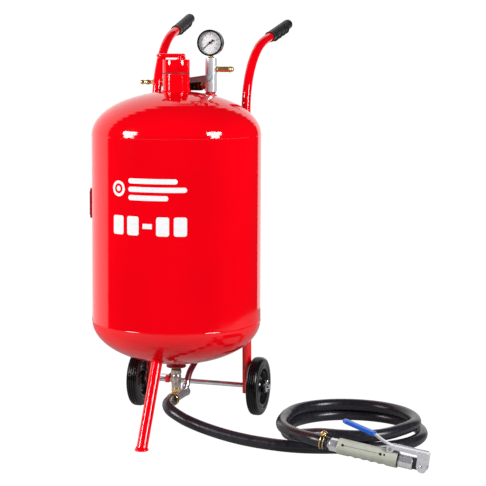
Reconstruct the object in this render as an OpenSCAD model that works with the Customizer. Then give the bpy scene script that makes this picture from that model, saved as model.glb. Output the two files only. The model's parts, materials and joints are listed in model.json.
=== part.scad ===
// Wheeled pressure-feed abrasive blaster: pressure tank, trolley frame, air line,
// grit valve, blast hose and dead-man gun. Millimetres, +Z up, front leg towards -Y,
// wheels and handles towards +Y. The origin is on the floor, at the middle of the footprint.

/* [Tank] */
// Outside radius of the pressure tank
tank_r = 190; // [185:1:192]
// Wall thickness of the tank
tank_wall = 3; // [2:0.5:4]
// Height of the lower weld seam
seam_low = 246; // [242:1:250]
// Height of the upper weld seam
seam_high = 664; // [661:1:667]
// Height of each dished head
head_h = 97; // [96:0.5:98]

/* [Filler] */
// Outside radius of the filler neck and its cap
neck_r = 30.15; // [29:0.05:32]
// Radius of the filler bore
neck_bore_r = 25.15; // [24:0.05:25.5]
// Height of the neck's rim
neck_top = 799; // [796:1:802]
// Height of the screw cap above its gasket
cap_h = 30; // [26:1:34]
// Radius of the bar bent into the cap's handle
cap_bar_r = 4.6; // [4:0.1:5]

/* [Frame] */
// Outside radius of the handle tubes
tube_r = 10.65; // [10:0.05:11]
// Sideways distance of each handle tube from the middle
tube_x = 110.6; // [109.6:0.1:111.6]
// Bend radius of the handle tubes
bend_r = 174.5; // [170:0.5:180]
// Height at which the left handle starts to bend
left_bend_z = 724; // [714:1:728]
// Height at which the right handle starts to bend
right_bend_z = 708; // [700:1:714]
// Radius of the front leg's tube
leg_r = 12; // [11:0.5:13]

/* [Wheels] */
// Wheel radius, which is also the axle's height
wheel_r = 68; // [67:0.5:69]
// Axle radius
axle_r = 6; // [5.5:0.1:6.2]
// Width of each tyre
tyre_w = 27; // [25:1:28]
// Number of holes in each rim
rim_holes = 6; // [5:1:7]

/* [Blast hose and gun] */
// Outside radius of the blast hose
hose_r = 13; // [12.5:0.1:13]
// Outside radius of the red air hoses
air_hose_r = 7; // [6.5:0.1:7]
// Mean radius of the hose coil
coil_r = 149; // [147:1:151]
// Length of the gun's body
gun_len = 127; // [125:1:129]
// Radius of the gun's body
gun_r = 17; // [16.5:0.1:17]

/* [Hidden] */

$fn = 64;
eps = 0.05;

// ---- places shared by several sub-parts, from the tank's own axis ----
axle_y = 162;
axle_z = wheel_r;
axle_half = 174;
tube_y = 173.6;
tube_len = 658;
tube_toe = 4;
tube_lean = -1.03;
tube_splay = 0.89;
bend_angle = 75.6;
handle_straight = 173;
grip_start = 33;
grip_len = 150;
grip_r = 12.6;
leg_lean = 29.6;
leg_y = -226;
foot_r = 15;
foot_h = 4;
hub_x = 132.1;
hub_end_x = 164.7;
tyre_x = 133.7;
rim_r = 46;
hub_r = 15;
bush_r = 9;
pin_x = 170.4;
pin_r = 1.6;
seat = 0.05;

grip_tip_s = bend_r * (1 - cos(bend_angle)) + (grip_start + grip_len) * sin(bend_angle);
front_y = leg_y - foot_r;
grip_tip_h = bend_r * sin(bend_angle) + (grip_start + grip_len) * cos(bend_angle);
back_y = tube_y + (grip_tip_s * cos(tube_lean) - grip_tip_h * sin(tube_lean)) * cos(tube_toe);
tank_y = -(front_y + back_y) / 2;

manifold_r = 13.5;
manifold_at = [66.5, 45, 0];
manifold_low = 758.5;
manifold_high = 834;
line_z = 773.5;
line_turn = 165;
valve_x = 79;
gauge_z = 868;
gauge_r = 29.5;
gauge_depth = 21;
relief_z = 809;

outlet_bore_r = 9.5;
flange_z = 136;
valve_low = 87.5;
valve_high = 129.5;
valve_z = 107.5;
run_z = 66;
tee_turn = -8;
tee_tilt = 5;
run_r = 10.5;
hose_bore_r = 6.5;

gun_at = [421, -193, 39];
gun_pitch = 7.6;
gun_yaw = -2.5;
pivot_x = 109;
pivot_z = 21;

coil_at = [402, 38];

// ---- general shapes ----
module on_tank() { translate([0, tank_y, 0]) children(); }

// A ring whose axis is Z.
module ring(outer, inner, low, high) {
    difference() {
        translate([0, 0, low]) cylinder(r = outer, h = high - low);
        translate([0, 0, low - 1]) cylinder(r = inner, h = high - low + 2);
    }
}

// A rod from x = low to x = high.
module rod_x(r, low, high) { translate([low, 0, 0]) rotate([0, 90, 0]) cylinder(r = r, h = high - low); }

// A rod from y = low to y = high.
module rod_y(r, low, high) { translate([0, high, 0]) rotate([90, 0, 0]) cylinder(r = r, h = high - low); }

// A hexagon bar along X, given across its flats.
module hex_x(across, low, high) {
    translate([low, 0, 0]) rotate([0, 90, 0]) cylinder(r = across / sqrt(3), h = high - low, $fn = 6);
}

// A hexagon bar along Z, given across its flats.
module hex_z(across, low, high) {
    translate([0, 0, low]) cylinder(r = across / sqrt(3), h = high - low, $fn = 6);
}

// Quarter of an ellipse, from the rim to the pole.
function quarter(rx, rz, n) = [for (i = [0:n]) [rx * cos(90 * i / n), rz * sin(90 * i / n)]];
function reversed(list) = [for (i = [len(list) - 1:-1:0]) list[i]];

// A dished head standing on its rim, as a shell or as the solid it encloses.
module head_shell() {
    outer = quarter(tank_r, head_h, 20);
    inner = quarter(tank_r - tank_wall, head_h - tank_wall, 20);
    rotate_extrude($fn = 96) polygon(concat(outer, reversed(inner)));
}
module head_solid() { rotate_extrude($fn = 96) polygon(concat(quarter(tank_r, head_h, 20), [[0, 0]])); }

// ---- swept hoses: a smooth curve through chosen points ----
function curve_point(a, b, c, d, t) = 0.5 * ((2 * b) + (c - a) * t
    + (2 * a - 5 * b + 4 * c - d) * t * t + (3 * b - a - 3 * c + d) * t * t * t);
function at(points, i) = points[max(0, min(len(points) - 1, i))];
function curve(points, steps) = concat([for (i = [0:len(points) - 2], k = [0:steps - 1])
    curve_point(at(points, i - 1), points[i], points[i + 1], at(points, i + 2), k / steps)],
    [points[len(points) - 1]]);
function unit(v) = v / norm(v);
function heading(path, i) = unit(at(path, i + 1) - at(path, i - 1));

module hose(points, r, steps, side, sides = 10) {
    path = curve(points, steps);
    last = len(path) - 1;
    rings = [for (i = [0:last]) let (t = heading(path, i), n = unit(cross(side, t)), b = cross(t, n))
        for (k = [0:sides - 1]) path[i] + r * (cos(360 * k / sides) * n + sin(360 * k / sides) * b)];
    walls = [for (i = [0:last - 1], k = [0:sides - 1]) let (a = i * sides + k,
        b = i * sides + (k + 1) % sides) [a, a + sides, b + sides, b]];
    split = [for (w = walls) each [[w[0], w[1], w[2]], [w[0], w[2], w[3]]]];
    ends = [[for (k = [0:sides - 1]) k], [for (k = [sides - 1:-1:0]) last * sides + k]];
    polyhedron(points = rings, faces = concat(split, ends), convexity = 10);
}

// Air hose: from the tee on top, over the back of the tank, down to the mixing tee.
air_hose_route = [[30, 71, 773.5], [33.5, 84.5, 772.5], [36, 110, 765], [33, 144, 752],
    [26, 176, 734], [19, 198, 707], [14, 206, 672], [12, 208, 550], [12, 208, 410],
    [12, 207, 292], [13, 203, 238], [14, 185, 192], [14, 157, 161], [13, 124, 141],
    [11.5, 94, 125], [9.5, 68, 111], [7.7, 55, 92.5], [6.6, 47.2, 80.1]];

// Inlet hose: from the elbow behind the neck to the inlet fitting behind the left handle.
inlet_route = [[-43.6, 90, 773.5], [-40.5, 102, 773.5], [-39, 125, 774], [-43, 151, 774.5],
    [-53, 175, 775], [-68, 194, 775], [-84, 203.5, 775], [-98, 206, 775]];

// Blast hose: out of the mixing tee, down to the floor and along it to the coil.
blast_route = [[-1.4, -9.7, 65.1], [-3.4, -25, 63.7], [-3.4, -43, 62], [1.6, -60.5, 60],
    [10.6, -76, 56.5], [22, -86, 52.5], [36, -92.5, 47.5], [53, -98, 41.5], [74, -104, 36],
    [99, -110, 30.5], [129, -116, 25], [163, -122, 20], [202, -127.5, 16], [240, -132, 14],
    [285, -136, 13], [325, -135, 13], [365, -126, 13], [402, -113, 13]];

// Last stretch: off the top of the coil, over the first stretch and into the gun.
tail_route = [[253, 20, 39], [256, -20, 39], [264, -58, 39.5], [279, -92, 40.5],
    [302, -125, 42], [332, -157, 44], [366, -181, 45.5], [401.2, -192.1, 41.6]];

// ---- tank ----
module tank_barrel() {
    color("red") on_tank() ring(tank_r, tank_r - tank_wall, seam_low, seam_high, $fn = 96);
}

module top_head() {
    color("red") on_tank() difference() {
        translate([0, 0, seam_high]) head_shell();
        translate([0, 0, seam_high]) cylinder(r = neck_r + seat, h = head_h + 5);
        translate([manifold_at.x, manifold_at.y, seam_high]) cylinder(r = 10.7, h = head_h + 5);
    }
}

module bottom_head() {
    color("red") on_tank() difference() {
        translate([0, 0, seam_low]) mirror([0, 0, 1]) head_shell();
        translate([0, 0, seam_low - head_h - 5]) cylinder(r = 20.05, h = head_h);
    }
}

module filler_neck() {
    color("red") on_tank() ring(neck_r, neck_bore_r, seam_high + head_h - 7, neck_top);
}

gasket_h = 2;
cap_low = neck_top + gasket_h;
cap_top = cap_low + cap_h;
spigot_len = 18;

module cap_gasket() {
    color("dimgray") on_tank() ring(neck_r - 0.4, neck_bore_r + 0.3, neck_top, cap_low);
}

module filler_cap() {
    color("red") on_tank() {
        translate([0, 0, cap_low]) cylinder(r = neck_r, h = cap_h);
        ring(neck_bore_r - seat, neck_bore_r - 4.5, cap_low - spigot_len, cap_low);
    }
}

// A bar bent to a U that lies level above the cap and reaches past its rim on the left.
module cap_handle() {
    half = 13;
    lift = 8.6;
    post_x = 12;
    bow_x = -29;
    color("red") on_tank() translate([0, 0, cap_top]) {
        for (s = [-1, 1]) translate([post_x, s * half, 0]) {
            cylinder(r = cap_bar_r, h = lift);
            translate([0, 0, lift]) sphere(r = cap_bar_r);
            translate([0, 0, lift]) rod_x(cap_bar_r, bow_x - post_x, 0);
        }
        translate([bow_x, 0, lift]) rotate([0, 0, 90]) rotate_extrude(angle = 180)
            translate([half, 0]) circle(r = cap_bar_r);
    }
}

// ---- trolley frame ----
// Places one handle tube, side = 1 for the right one, with its bend starting at the origin.
module tube_place(side, bend_z) {
    translate([side * tube_x, tube_y, bend_z]) rotate([0, 0, -side * tube_toe])
        rotate([tube_lean, 0, 0]) rotate([0, -side * tube_splay, 0]) children();
}

// The tube's three stretches with the outside radius r, and hollow where wall is given.
module tube_stretches(bend_z, r, bore = 0) {
    foot = tube_len + bend_z - right_bend_z;
    difference() {
        translate([0, 0, -foot]) cylinder(r = r, h = foot);
        if (bore > 0) translate([0, 0, -foot - 1]) cylinder(r = bore, h = foot + 2);
    }
    translate([0, bend_r, 0]) rotate([90, 0, -90]) rotate_extrude(angle = bend_angle)
        translate([bend_r, 0]) difference() {
            circle(r = r);
            if (bore > 0) circle(r = bore);
        }
    handle_end() difference() {
        cylinder(r = r, h = handle_straight);
        if (bore > 0) translate([0, 0, -1]) cylinder(r = bore, h = handle_straight + 2);
    }
}
module tube_solid(side, bend_z, r) { tube_place(side, bend_z) tube_stretches(bend_z, r); }

// Moves its children to the end of the bend, with Z along the handle's straight end.
module handle_end() {
    translate([0, bend_r * (1 - cos(bend_angle)), bend_r * sin(bend_angle)])
        rotate([-bend_angle, 0, 0]) children();
}

module handle_tube(side, bend_z) {
    color("red") on_tank() difference() {
        tube_place(side, bend_z) tube_stretches(bend_z, tube_r, tube_r - 2.5);
        translate([side * tube_x, axle_y, axle_z]) rod_x(axle_r + seat, -30, 30);
    }
}
module left_handle_tube() { handle_tube(-1, left_bend_z); }
module right_handle_tube() { handle_tube(1, right_bend_z); }

// Rubber grip: a closed sleeve with four finger ridges on its underside.
module grip(side, bend_z) {
    // how far each finger ridge is from the mouth
    ridges = [29, 57, 85, 107];
    color([0.12, 0.12, 0.13]) on_tank() difference() {
        tube_place(side, bend_z) handle_end() {
            translate([0, 0, grip_start]) cylinder(r = grip_r, h = grip_len - grip_r);
            translate([0, 0, grip_start + grip_len - grip_r]) sphere(r = grip_r);
            for (s = ridges) translate([0, 0, grip_start + s]) intersection() {
                cylinder(r = grip_r + 4, h = 8);
                translate([-8, 0, 0]) cube([16, 30, 8]);
            }
        }
        tube_solid(side, bend_z, tube_r);
    }
}
module left_grip() { grip(-1, left_bend_z); }
module right_grip() { grip(1, right_bend_z); }

// Weld tabs that tie each handle tube to the tank, near both seams.
module tube_brackets() {
    span = 2.4;
    tab_h = 26;
    // turn, lowest height and radial thickness of each tab
    tabs = [[54.9, 285, 1.85], [57, 615, 4.4], [125.2, 285, 1.75], [123.1, 615, 4.28]];
    color("red") on_tank() for (tab = tabs) rotate([0, 0, tab[0] - span / 2])
        rotate_extrude(angle = span, $fn = 96) translate([tank_r, tab[1]]) square([tab[2], tab_h]);
}

module leg_line() { translate([0, leg_y, 0]) rotate([-leg_lean, 0, 0]) children(); }

module front_leg() {
    color("red") on_tank() difference() {
        leg_line() cylinder(r = leg_r, h = 240);
        leg_line() translate([0, 0, -1]) cylinder(r = leg_r - 2.5, h = 250);
        translate([0, 0, seam_low]) mirror([0, 0, 1]) head_solid();
        translate([-50, -300, -50]) cube([100, 300, 50 + foot_h]);
    }
}

module leg_foot() {
    color("red") on_tank() translate([0, leg_y, 0]) cylinder(r = foot_r, h = foot_h);
}

module axle() {
    color("silver") on_tank() difference() {
        translate([0, axle_y, axle_z]) rod_x(axle_r, -axle_half, axle_half);
        for (side = [-1, 1]) translate([side * pin_x, axle_y, axle_z - 10]) cylinder(r = pin_r, h = 20);
    }
}

// ---- wheels, each drawn for the right side and mirrored for the left ----
module wheel_place(side) {
    on_tank() mirror([side < 0 ? 1 : 0, 0, 0]) translate([0, axle_y, axle_z]) rotate([90, 0, 90]) children();
}

module tyre(side) {
    groove = 1.6;
    shoulder = 6;
    color([0.1, 0.1, 0.11]) wheel_place(side) difference() {
        rotate_extrude($fn = 96) difference() {
            translate([rim_r, tyre_x]) square([wheel_r - rim_r, tyre_w]);
            for (end = [0, 1]) translate([wheel_r, tyre_x + end * tyre_w]) rotate(45)
                square(shoulder * 1.5, center = true);
            for (i = [-1:1]) translate([wheel_r - groove, tyre_x + tyre_w / 2 + i * 6 - 0.8])
                square([groove + 1, 1.6]);
        }
    }
}
module left_tyre() { tyre(-1); }
module right_tyre() { tyre(1); }

// Moulded rim: hub, dished web with round openings, and the bead seat.
module rim(side) {
    web = 7;
    seat_in = 42;
    hole_r = 9;
    color([0.08, 0.08, 0.09]) wheel_place(side) difference() {
        union() {
            ring(rim_r, seat_in, tyre_x + 2, tyre_x + tyre_w - 2);
            translate([0, 0, tyre_x + (tyre_w - web) / 2]) cylinder(r = seat_in + 1, h = web);
            translate([0, 0, hub_x]) cylinder(r = hub_r, h = hub_end_x - hub_x);
        }
        translate([0, 0, hub_x - 1]) cylinder(r = bush_r, h = hub_end_x - hub_x + 2);
        for (i = [0:rim_holes - 1]) rotate([0, 0, i * 360 / rim_holes])
            translate([(hub_r + seat_in) / 2, 0, tyre_x]) cylinder(r = hole_r, h = tyre_w);
    }
}
module left_rim() { rim(-1); }
module right_rim() { rim(1); }

module bush(side) {
    color("ivory") wheel_place(side) ring(bush_r, axle_r + seat, hub_x, hub_end_x);
}
module left_bush() { bush(-1); }
module right_bush() { bush(1); }

module axle_washers() {
    color("silver") for (side = [-1, 1]) wheel_place(side) ring(13, axle_r, hub_end_x + 0.4, hub_end_x + 2.6);
}

module split_pins() {
    color("silver") for (side = [-1, 1]) on_tank() translate([side * pin_x, axle_y, axle_z]) {
        translate([0, 0, -13]) cylinder(r = pin_r - 0.05, h = 24);
        translate([0, 0, 13.5]) rotate([0, 90, 0]) rotate_extrude() translate([3.6, 0]) circle(r = 1.1);
    }
}

// ---- data plate, blank, on its curved holder at the tank's left side ----
plate_turn = 188;
plate_span = 14;
plate_low = 477;
plate_high = 543;

module curved_plate(inner, outer, low, high, span) {
    rotate([0, 0, plate_turn + (plate_span - span) / 2]) rotate_extrude(angle = span, $fn = 96)
        translate([inner, low]) square([outer - inner, high - low]);
}
module plate_bracket() {
    color([0.35, 0.02, 0.05]) on_tank() curved_plate(tank_r, tank_r + 3.6, plate_low, plate_high, plate_span);
}
module data_plate() {
    color("silver") on_tank()
        curved_plate(tank_r + 3.6, tank_r + 4.6, plate_low + 6, plate_high - 6, plate_span - 3);
}

// ---- outlet under the tank ----
module outlet_flange() {
    color("darkred") on_tank() difference() {
        union() {
            translate([0, 0, flange_z]) cylinder(r = 22.5, h = 5);
            translate([0, 0, flange_z]) cylinder(r = 20, h = 19.5);
        }
        translate([0, 0, flange_z - 1]) cylinder(r = outlet_bore_r, h = 40);
    }
}

module outlet_nipple() {
    color("goldenrod") on_tank() ring(outlet_bore_r - seat, 6, valve_high - 7, flange_z + 10.5);
}

ball_r = 8.6;
flow_r = 5.5;

// A valve's ball, bored along Z.
module bored_ball(bore) {
    rotate_extrude() intersection() {
        circle(r = ball_r);
        translate([bore, -ball_r]) square([ball_r, 2 * ball_r]);
    }
}

module grit_valve_body() {
    color([0.75, 0.72, 0.66]) on_tank() difference() {
        union() {
            hex_z(21, valve_high - 9, valve_high);
            translate([0, 0, valve_low + 8]) cylinder(r = 11, h = valve_high - valve_low - 16);
            hex_z(19, valve_low, valve_low + 9);
            translate([0, 0, valve_z]) rod_x(6, -14.4, 0);
        }
        translate([0, 0, valve_low - 1]) cylinder(r = flow_r, h = 60);
        translate([0, 0, valve_high - 7]) cylinder(r = outlet_bore_r, h = 8);
        translate([0, 0, valve_low - 1]) cylinder(r = 8 + seat, h = 7);
        translate([0, 0, valve_z]) sphere(r = ball_r + 0.1);
        translate([0, 0, valve_z]) rod_x(3.05, -20, 0);
    }
}

// Ball and stem in one piece; the flow bore lies across the pipe while the valve is shut.
module grit_valve_ball() {
    color("gainsboro") on_tank() translate([0, 0, valve_z]) {
        rotate([90, 0, 0]) bored_ball(flow_r);
        rod_x(3, -24, -flow_r - 0.9);
    }
}

lever_plane = -17.2;
module grit_valve_lever() {
    color("silver") on_tank() translate([0, 0, valve_z]) difference() {
        union() {
            translate([lever_plane, -5, -5]) cube([2.4, 50, 10]);
            translate([lever_plane - 20, -5, 9]) cube([22.4, 10, 1.6]);
            translate([lever_plane, -5, 4]) cube([2.4, 10, 6.6]);
        }
        rod_x(3.05, -60, 0);
    }
}

module grit_lever_sleeve() {
    color("red") on_tank() translate([0, 0, valve_z]) difference() {
        translate([lever_plane - 7.8, -8, -7.2]) cube([12.2, 57, 14.4]);
        translate([lever_plane, -10, -5.03]) cube([2.4, 55, 10.06]);
        translate([lever_plane - 10, -10, 4]) cube([20, 16, 20]);
        rod_x(7, -60, 0);
    }
}

// ---- mixing tee: grit drops in from above, air comes in behind, hose leaves in front ----
module tee_place() { on_tank() translate([0, 0, run_z]) rotate([tee_tilt, 0, tee_turn]) children(); }
port_y = 41;
port_lean = -38;

// The air port, drawn along Z, rising backwards from the run.
module port_place() { tee_place() translate([0, port_y, 0]) rotate([port_lean, 0, 0]) children(); }

module mixing_tee() {
    branch = valve_low - 9;
    color([0.55, 0.56, 0.58]) difference() {
        union() {
            tee_place() rod_y(run_r, -9.7, 50);
            tee_place() rod_y(hose_bore_r - seat, -46, -9);
            on_tank() translate([0, 0, run_z]) cylinder(r = 9.4, h = branch - run_z);
            port_place() cylinder(r = 8, h = 12);
        }
        tee_place() rod_y(4.5, -50, 44);
        on_tank() translate([0, 0, run_z]) cylinder(r = flow_r, h = 40);
        on_tank() translate([0, 0, branch - 6]) cylinder(r = 8 + seat, h = 10);
        port_place() cylinder(r = 4, h = 40);
    }
}

// Brass hexagon nipple between the valve and the tee.
module tee_connector() {
    color("goldenrod") on_tank() difference() {
        union() {
            hex_z(19, valve_low - 9, valve_low);
            translate([0, 0, valve_low - 15]) cylinder(r = 8, h = 21);
        }
        translate([0, 0, valve_low - 20]) cylinder(r = flow_r, h = 40);
    }
}

// Air hose, with the crimped steel ferrule that holds its lower end to the port.
module air_hose() {
    color([0.35, 0.04, 0.07]) on_tank() hose(air_hose_route, air_hose_r, 4, [1, 0, 0]);
    color("silver") port_place() ring(8.4, air_hose_r + seat, 12.05, 27);
}

// ---- air line on top ----
module manifold_place() { on_tank() translate(manifold_at) children(); }
module line_place() { manifold_place() translate([0, 0, line_z]) rotate([0, 0, line_turn]) children(); }
line_bore_r = 6.5;

module air_manifold() {
    color("gainsboro") manifold_place() difference() {
        translate([0, 0, manifold_low]) cylinder(r = manifold_r, h = manifold_high - manifold_low);
        translate([0, 0, manifold_low - 1]) cylinder(r = 5, h = manifold_high - manifold_low + 2);
        translate([0, 0, manifold_low - 1]) cylinder(r = 8.05, h = 9);
        translate([0, 0, manifold_high - 9]) cylinder(r = 5.05, h = 20);
        translate([0, 0, line_z]) rotate([0, 0, line_turn]) rod_x(line_bore_r + seat, 7, 30);
        translate([0, 0, line_z]) rotate([0, 0, line_turn]) rod_x(4, 0, 30);
        translate([0, 0, relief_z]) rod_x(4.05, 0, 30);
    }
}

module manifold_nipple() {
    color("silver") manifold_place() difference() {
        union() {
            translate([0, 0, manifold_low - 21]) cylinder(r = 10.65, h = 18);
            hex_z(20, manifold_low - 4, manifold_low);
            translate([0, 0, manifold_low - 4]) cylinder(r = 8, h = 11);
        }
        translate([0, 0, manifold_low - 30]) cylinder(r = 5, h = 60);
    }
}

gauge_front = -12;
module gauge_place() { manifold_place() translate([0, 0, gauge_z]) children(); }

module gauge_case() {
    color([0.08, 0.08, 0.08]) gauge_place() difference() {
        rod_y(gauge_r, gauge_front, gauge_front + gauge_depth);
        rod_y(gauge_r - 2.6, gauge_front - 1, gauge_front + gauge_depth - 2);
        translate([0, 0, -gauge_r - 2]) cylinder(r = 5 + seat, h = 10);
    }
}

module gauge_stem() {
    color("goldenrod") gauge_place() difference() {
        union() {
            translate([0, 0, manifold_high - gauge_z]) cylinder(r = 7, h = gauge_z - gauge_r - manifold_high - 1.4, $fn = 6);
            translate([0, 0, manifold_high - gauge_z - 8]) cylinder(r = 5, h = 20);
        }
        translate([0, 0, manifold_high - gauge_z - 20]) cylinder(r = 1.5, h = 60);
    }
}

module gauge_dial() {
    color("white") gauge_place() difference() {
        rod_y(gauge_r - 2.7, gauge_front + 6, gauge_front + 7);
        rod_y(1.2, -30, 30);
    }
}

// The needle rests on its stop at the lower left; its shaft runs through the dial.
needle_rest = 218;
module gauge_needle() {
    color("black") gauge_place() union() {
        rod_y(1.15, gauge_front + 3.6, gauge_front + 9);
        rod_y(2.4, gauge_front + 3.6, gauge_front + 5.4);
        rotate([0, -needle_rest, 0]) translate([-8, gauge_front + 4.2, -0.6]) cube([30, 0.8, 1.2]);
        rotate([0, -needle_rest, 0]) translate([-8, 0, 0]) rod_y(2, gauge_front + 4.2, gauge_front + 5);
    }
}

module gauge_glass() {
    color([0.8, 0.9, 0.95, 0.3]) gauge_place() rod_y(gauge_r - 2.7, gauge_front + 0.8, gauge_front + 2.4);
}

module safety_valve_body() {
    color("goldenrod") manifold_place() translate([0, 0, relief_z]) difference() {
        union() {
            rod_x(4, 8, 20);
            rod_x(6.4, manifold_r + 0.4, 41);
        }
        rod_x(2.05, 0, 50);
    }
}

// The pull knob and its pin: drawn outwards to vent the tank by hand.
module safety_valve_pull() {
    color("goldenrod") manifold_place() translate([0, 0, relief_z]) {
        rod_x(2, 16, 44);
        difference() {
            union() {
                rod_x(6.8, 41.6, 47);
                translate([47, 0, 0]) intersection() {
                    sphere(r = 6.8);
                    rod_x(6.8, 0, 6.8);
                }
            }
            translate([47, 0, -20]) cylinder(r = 1.4, h = 40);
        }
    }
}

// Brass nipple from the manifold to the tee.
module line_nipple() {
    color("goldenrod") line_place() difference() {
        union() {
            rod_x(line_bore_r, 8, 36);
            hex_x(17, 15, 27.8);
        }
        rod_x(4, 0, 60);
    }
}

module air_tee() {
    color([0.1, 0.1, 0.11]) line_place() difference() {
        union() {
            rod_x(13, 28, 55);
            translate([42, 0, 0]) rod_y(9.5, -19, 0);
        }
        rod_x(4, 20, 60);
        rod_x(line_bore_r + seat, 20, 36.1);
        rod_x(line_bore_r + seat, 46.9, 60);
        translate([42, 0, 0]) rod_y(4, -30, 0);
        translate([42, 0, 0]) rod_y(air_hose_r + seat, -30, -15);
    }
}

module air_valve_body() {
    color([0.78, 0.76, 0.7]) line_place() difference() {
        union() {
            rod_x(line_bore_r, 47, 56);
            hex_x(22, 55, 66);
            rod_x(12, 65, 93);
            hex_x(22, 92, 103);
            translate([valve_x, 0, 0]) rod_y(6.5, 0, 14.6);
        }
        rod_x(4.5, 40, 120);
        rod_x(line_bore_r + seat, 95, 120);
        rod_x(ball_r + 0.1, valve_x - 9, valve_x + 9);
        translate([valve_x, 0, 0]) rod_y(3.05, 0, 30);
    }
}

module air_valve_ball() {
    color("gainsboro") line_place() translate([valve_x, 0, 0]) {
        rotate([0, 90, 0]) bored_ball(4.5);
        rod_y(3, 5.6, 21);
    }
}

// Cast lever on the stem; it lies along the line while the valve is open.
module air_valve_lever() {
    rise = 7.5;
    color([0.62, 0.62, 0.65]) line_place() translate([valve_x, 15, 0]) difference() {
        union() {
            rod_y(8, 0, 4.6);
            rotate([0, rise, 0]) translate([-86, 0, -0.5]) cube([86, 4.6, 13]);
            rotate([0, rise, 0]) translate([-86, 0, 6]) rod_y(6.5, 0, 4.6);
        }
        rod_y(3.05, -20, 20);
    }
}

// Elbow behind the neck, the hose to the back, and the fitting behind the left handle.
inlet_at = [-109, 206, line_z + 1.5];
module inlet_line() {
    color("goldenrod") line_place() difference() {
        union() {
            rod_x(line_bore_r, 96, 104);
            rod_x(8.5, 103, 118);
            translate([118, 0, 0]) sphere(r = 8.5);
            translate([118, 0, 0]) rod_y(8.5, -20, 0);
        }
        rod_x(4, 90, 118);
        translate([118, 0, 0]) rod_y(4, -30, 0);
        translate([118, 0, 0]) rod_y(air_hose_r + seat, -30, -14);
    }
    color([0.35, 0.04, 0.07]) on_tank() hose(inlet_route, air_hose_r, 3, [0, 0, 1]);
    color("goldenrod") on_tank() translate(inlet_at) difference() {
        union() {
            hex_x(21, -4, 8);
            rod_x(8.5, 8, 24);
            rod_x(8, -12, -4);
        }
        rod_x(3.5, -20, 60);
        rod_x(air_hose_r + seat, 10, 60);
        rod_x(5.55, -20, -5);
    }
}

// Quick-connect plug: turned brass with a groove for the coupler's balls.
module inlet_plug() {
    profile = [[0, -5], [5.5, -5], [5.5, -12], [7, -12], [7, -22], [4.5, -24], [4.5, -29],
        [6, -31], [6, -38], [4.3, -40], [4.3, -45], [5.6, -46.5], [5.6, -51], [4.8, -52], [0, -52]];
    color("goldenrod") on_tank() translate(inlet_at) difference() {
        rotate([0, 90, 0]) rotate_extrude() polygon(profile);
        rod_x(3, -60, 0);
    }
}

// ---- blast hose ----
module blast_hose() { color([0.13, 0.12, 0.15]) on_tank() hose(blast_route, hose_r, 3, [0, 0, 1], 12); }
module hose_tail() { color([0.13, 0.12, 0.15]) on_tank() hose(tail_route, hose_r, 3, [0, 0, 1], 12); }

// Two turns of hose, one on the other.
module hose_coil() {
    color([0.13, 0.12, 0.15]) on_tank() translate([coil_at.x, coil_at.y, 0])
        ring(coil_r + hose_r + 4, coil_r - hose_r - 4, 0, 4 * hose_r, $fn = 96);
}

// ---- gun, drawn along X from the back of its body ----
module gun_place() { on_tank() translate(gun_at) rotate([0, gun_pitch, gun_yaw]) children(); }

// Double-wire clamp, one on each end of the hose, with its screw.
module wire_clamp() {
    difference() {
        for (x = [-4, 4]) rod_x(hose_r + 2, x - 1.5, x + 1.5);
        rod_x(hose_r + 0.05, -20, 20);
    }
    translate([0, 0, hose_r + 4.5]) rod_y(2, -10, 8);
    translate([0, 0, hose_r + 4.5]) rod_y(4, -13, -10);
    for (x = [-4, 4]) translate([x - 1.5, -4, hose_r + 1]) cube([3, 8, 3]);
}
module tank_hose_clamp() {
    color("goldenrod") tee_place() translate([0, -17, 0]) rotate([-123, 0, 90]) wire_clamp();
}

// Hexagon inlet with its barb in the hose, and the clamp that holds the hose on it.
module gun_inlet() {
    color("goldenrod") gun_place() translate([-34, 0, 0]) wire_clamp();
    color("gainsboro") gun_place() difference() {
        union() {
            hex_x(24, -18, -0.2);
            rod_x(hose_bore_r - seat, -58, -18);
            rod_x(9, -22, -18);
        }
        rod_x(4.5, -70, 10);
    }
}

// Cast body in two shells, screwed together, with the lever's lug on top.
module gun_body() {
    lug = 5;
    color([0.78, 0.79, 0.72]) gun_place() difference() {
        union() {
            rod_x(gun_r, 0, gun_len);
            translate([pivot_x, 0, pivot_z]) rod_y(5, -lug, lug);
            translate([pivot_x - 5, -lug, 10]) cube([10, 2 * lug, pivot_z - 10]);
        }
        rod_x(10, -1, gun_len + 1);
        translate([pivot_x, 0, pivot_z]) rod_y(2.5, -20, 20);
        for (x = [12, 92, 122]) translate([x, 0, 9]) rod_y(3.2, -30, -12);
        translate([-1, -0.15, -20]) cube([gun_len + 2, 0.3, 12]);
    }
    color("silver") gun_place() for (x = [12, 92, 122]) translate([x, 0, 9]) rod_y(3, -15, -12.1);
    color("silver") gun_place() translate([pivot_x, 0, pivot_z]) difference() {
        rod_y(5.2, -8.8, -5.2);
        rod_y(3.4, -20, 20);
    }
}

nozzle_end = 158;
module gun_nozzle() {
    color("silver") gun_place() {
        difference() {
            union() {
                rod_x(9.95, 0.5, nozzle_end - 15);
                rod_x(13.5, gun_len + 1, nozzle_end);
            }
            rod_x(7, -5, nozzle_end - 19);
            rod_x(3.25, nozzle_end - 20, nozzle_end + 5);
        }
    }
}

lever_in = 9.3;
lever_out = 10.9;

// A side outline in X and Z, given thickness from y = low to y = high.
module slab(low, high) { translate([0, high, 0]) rotate([90, 0, 0]) linear_extrude(high - low) children(); }

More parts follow.
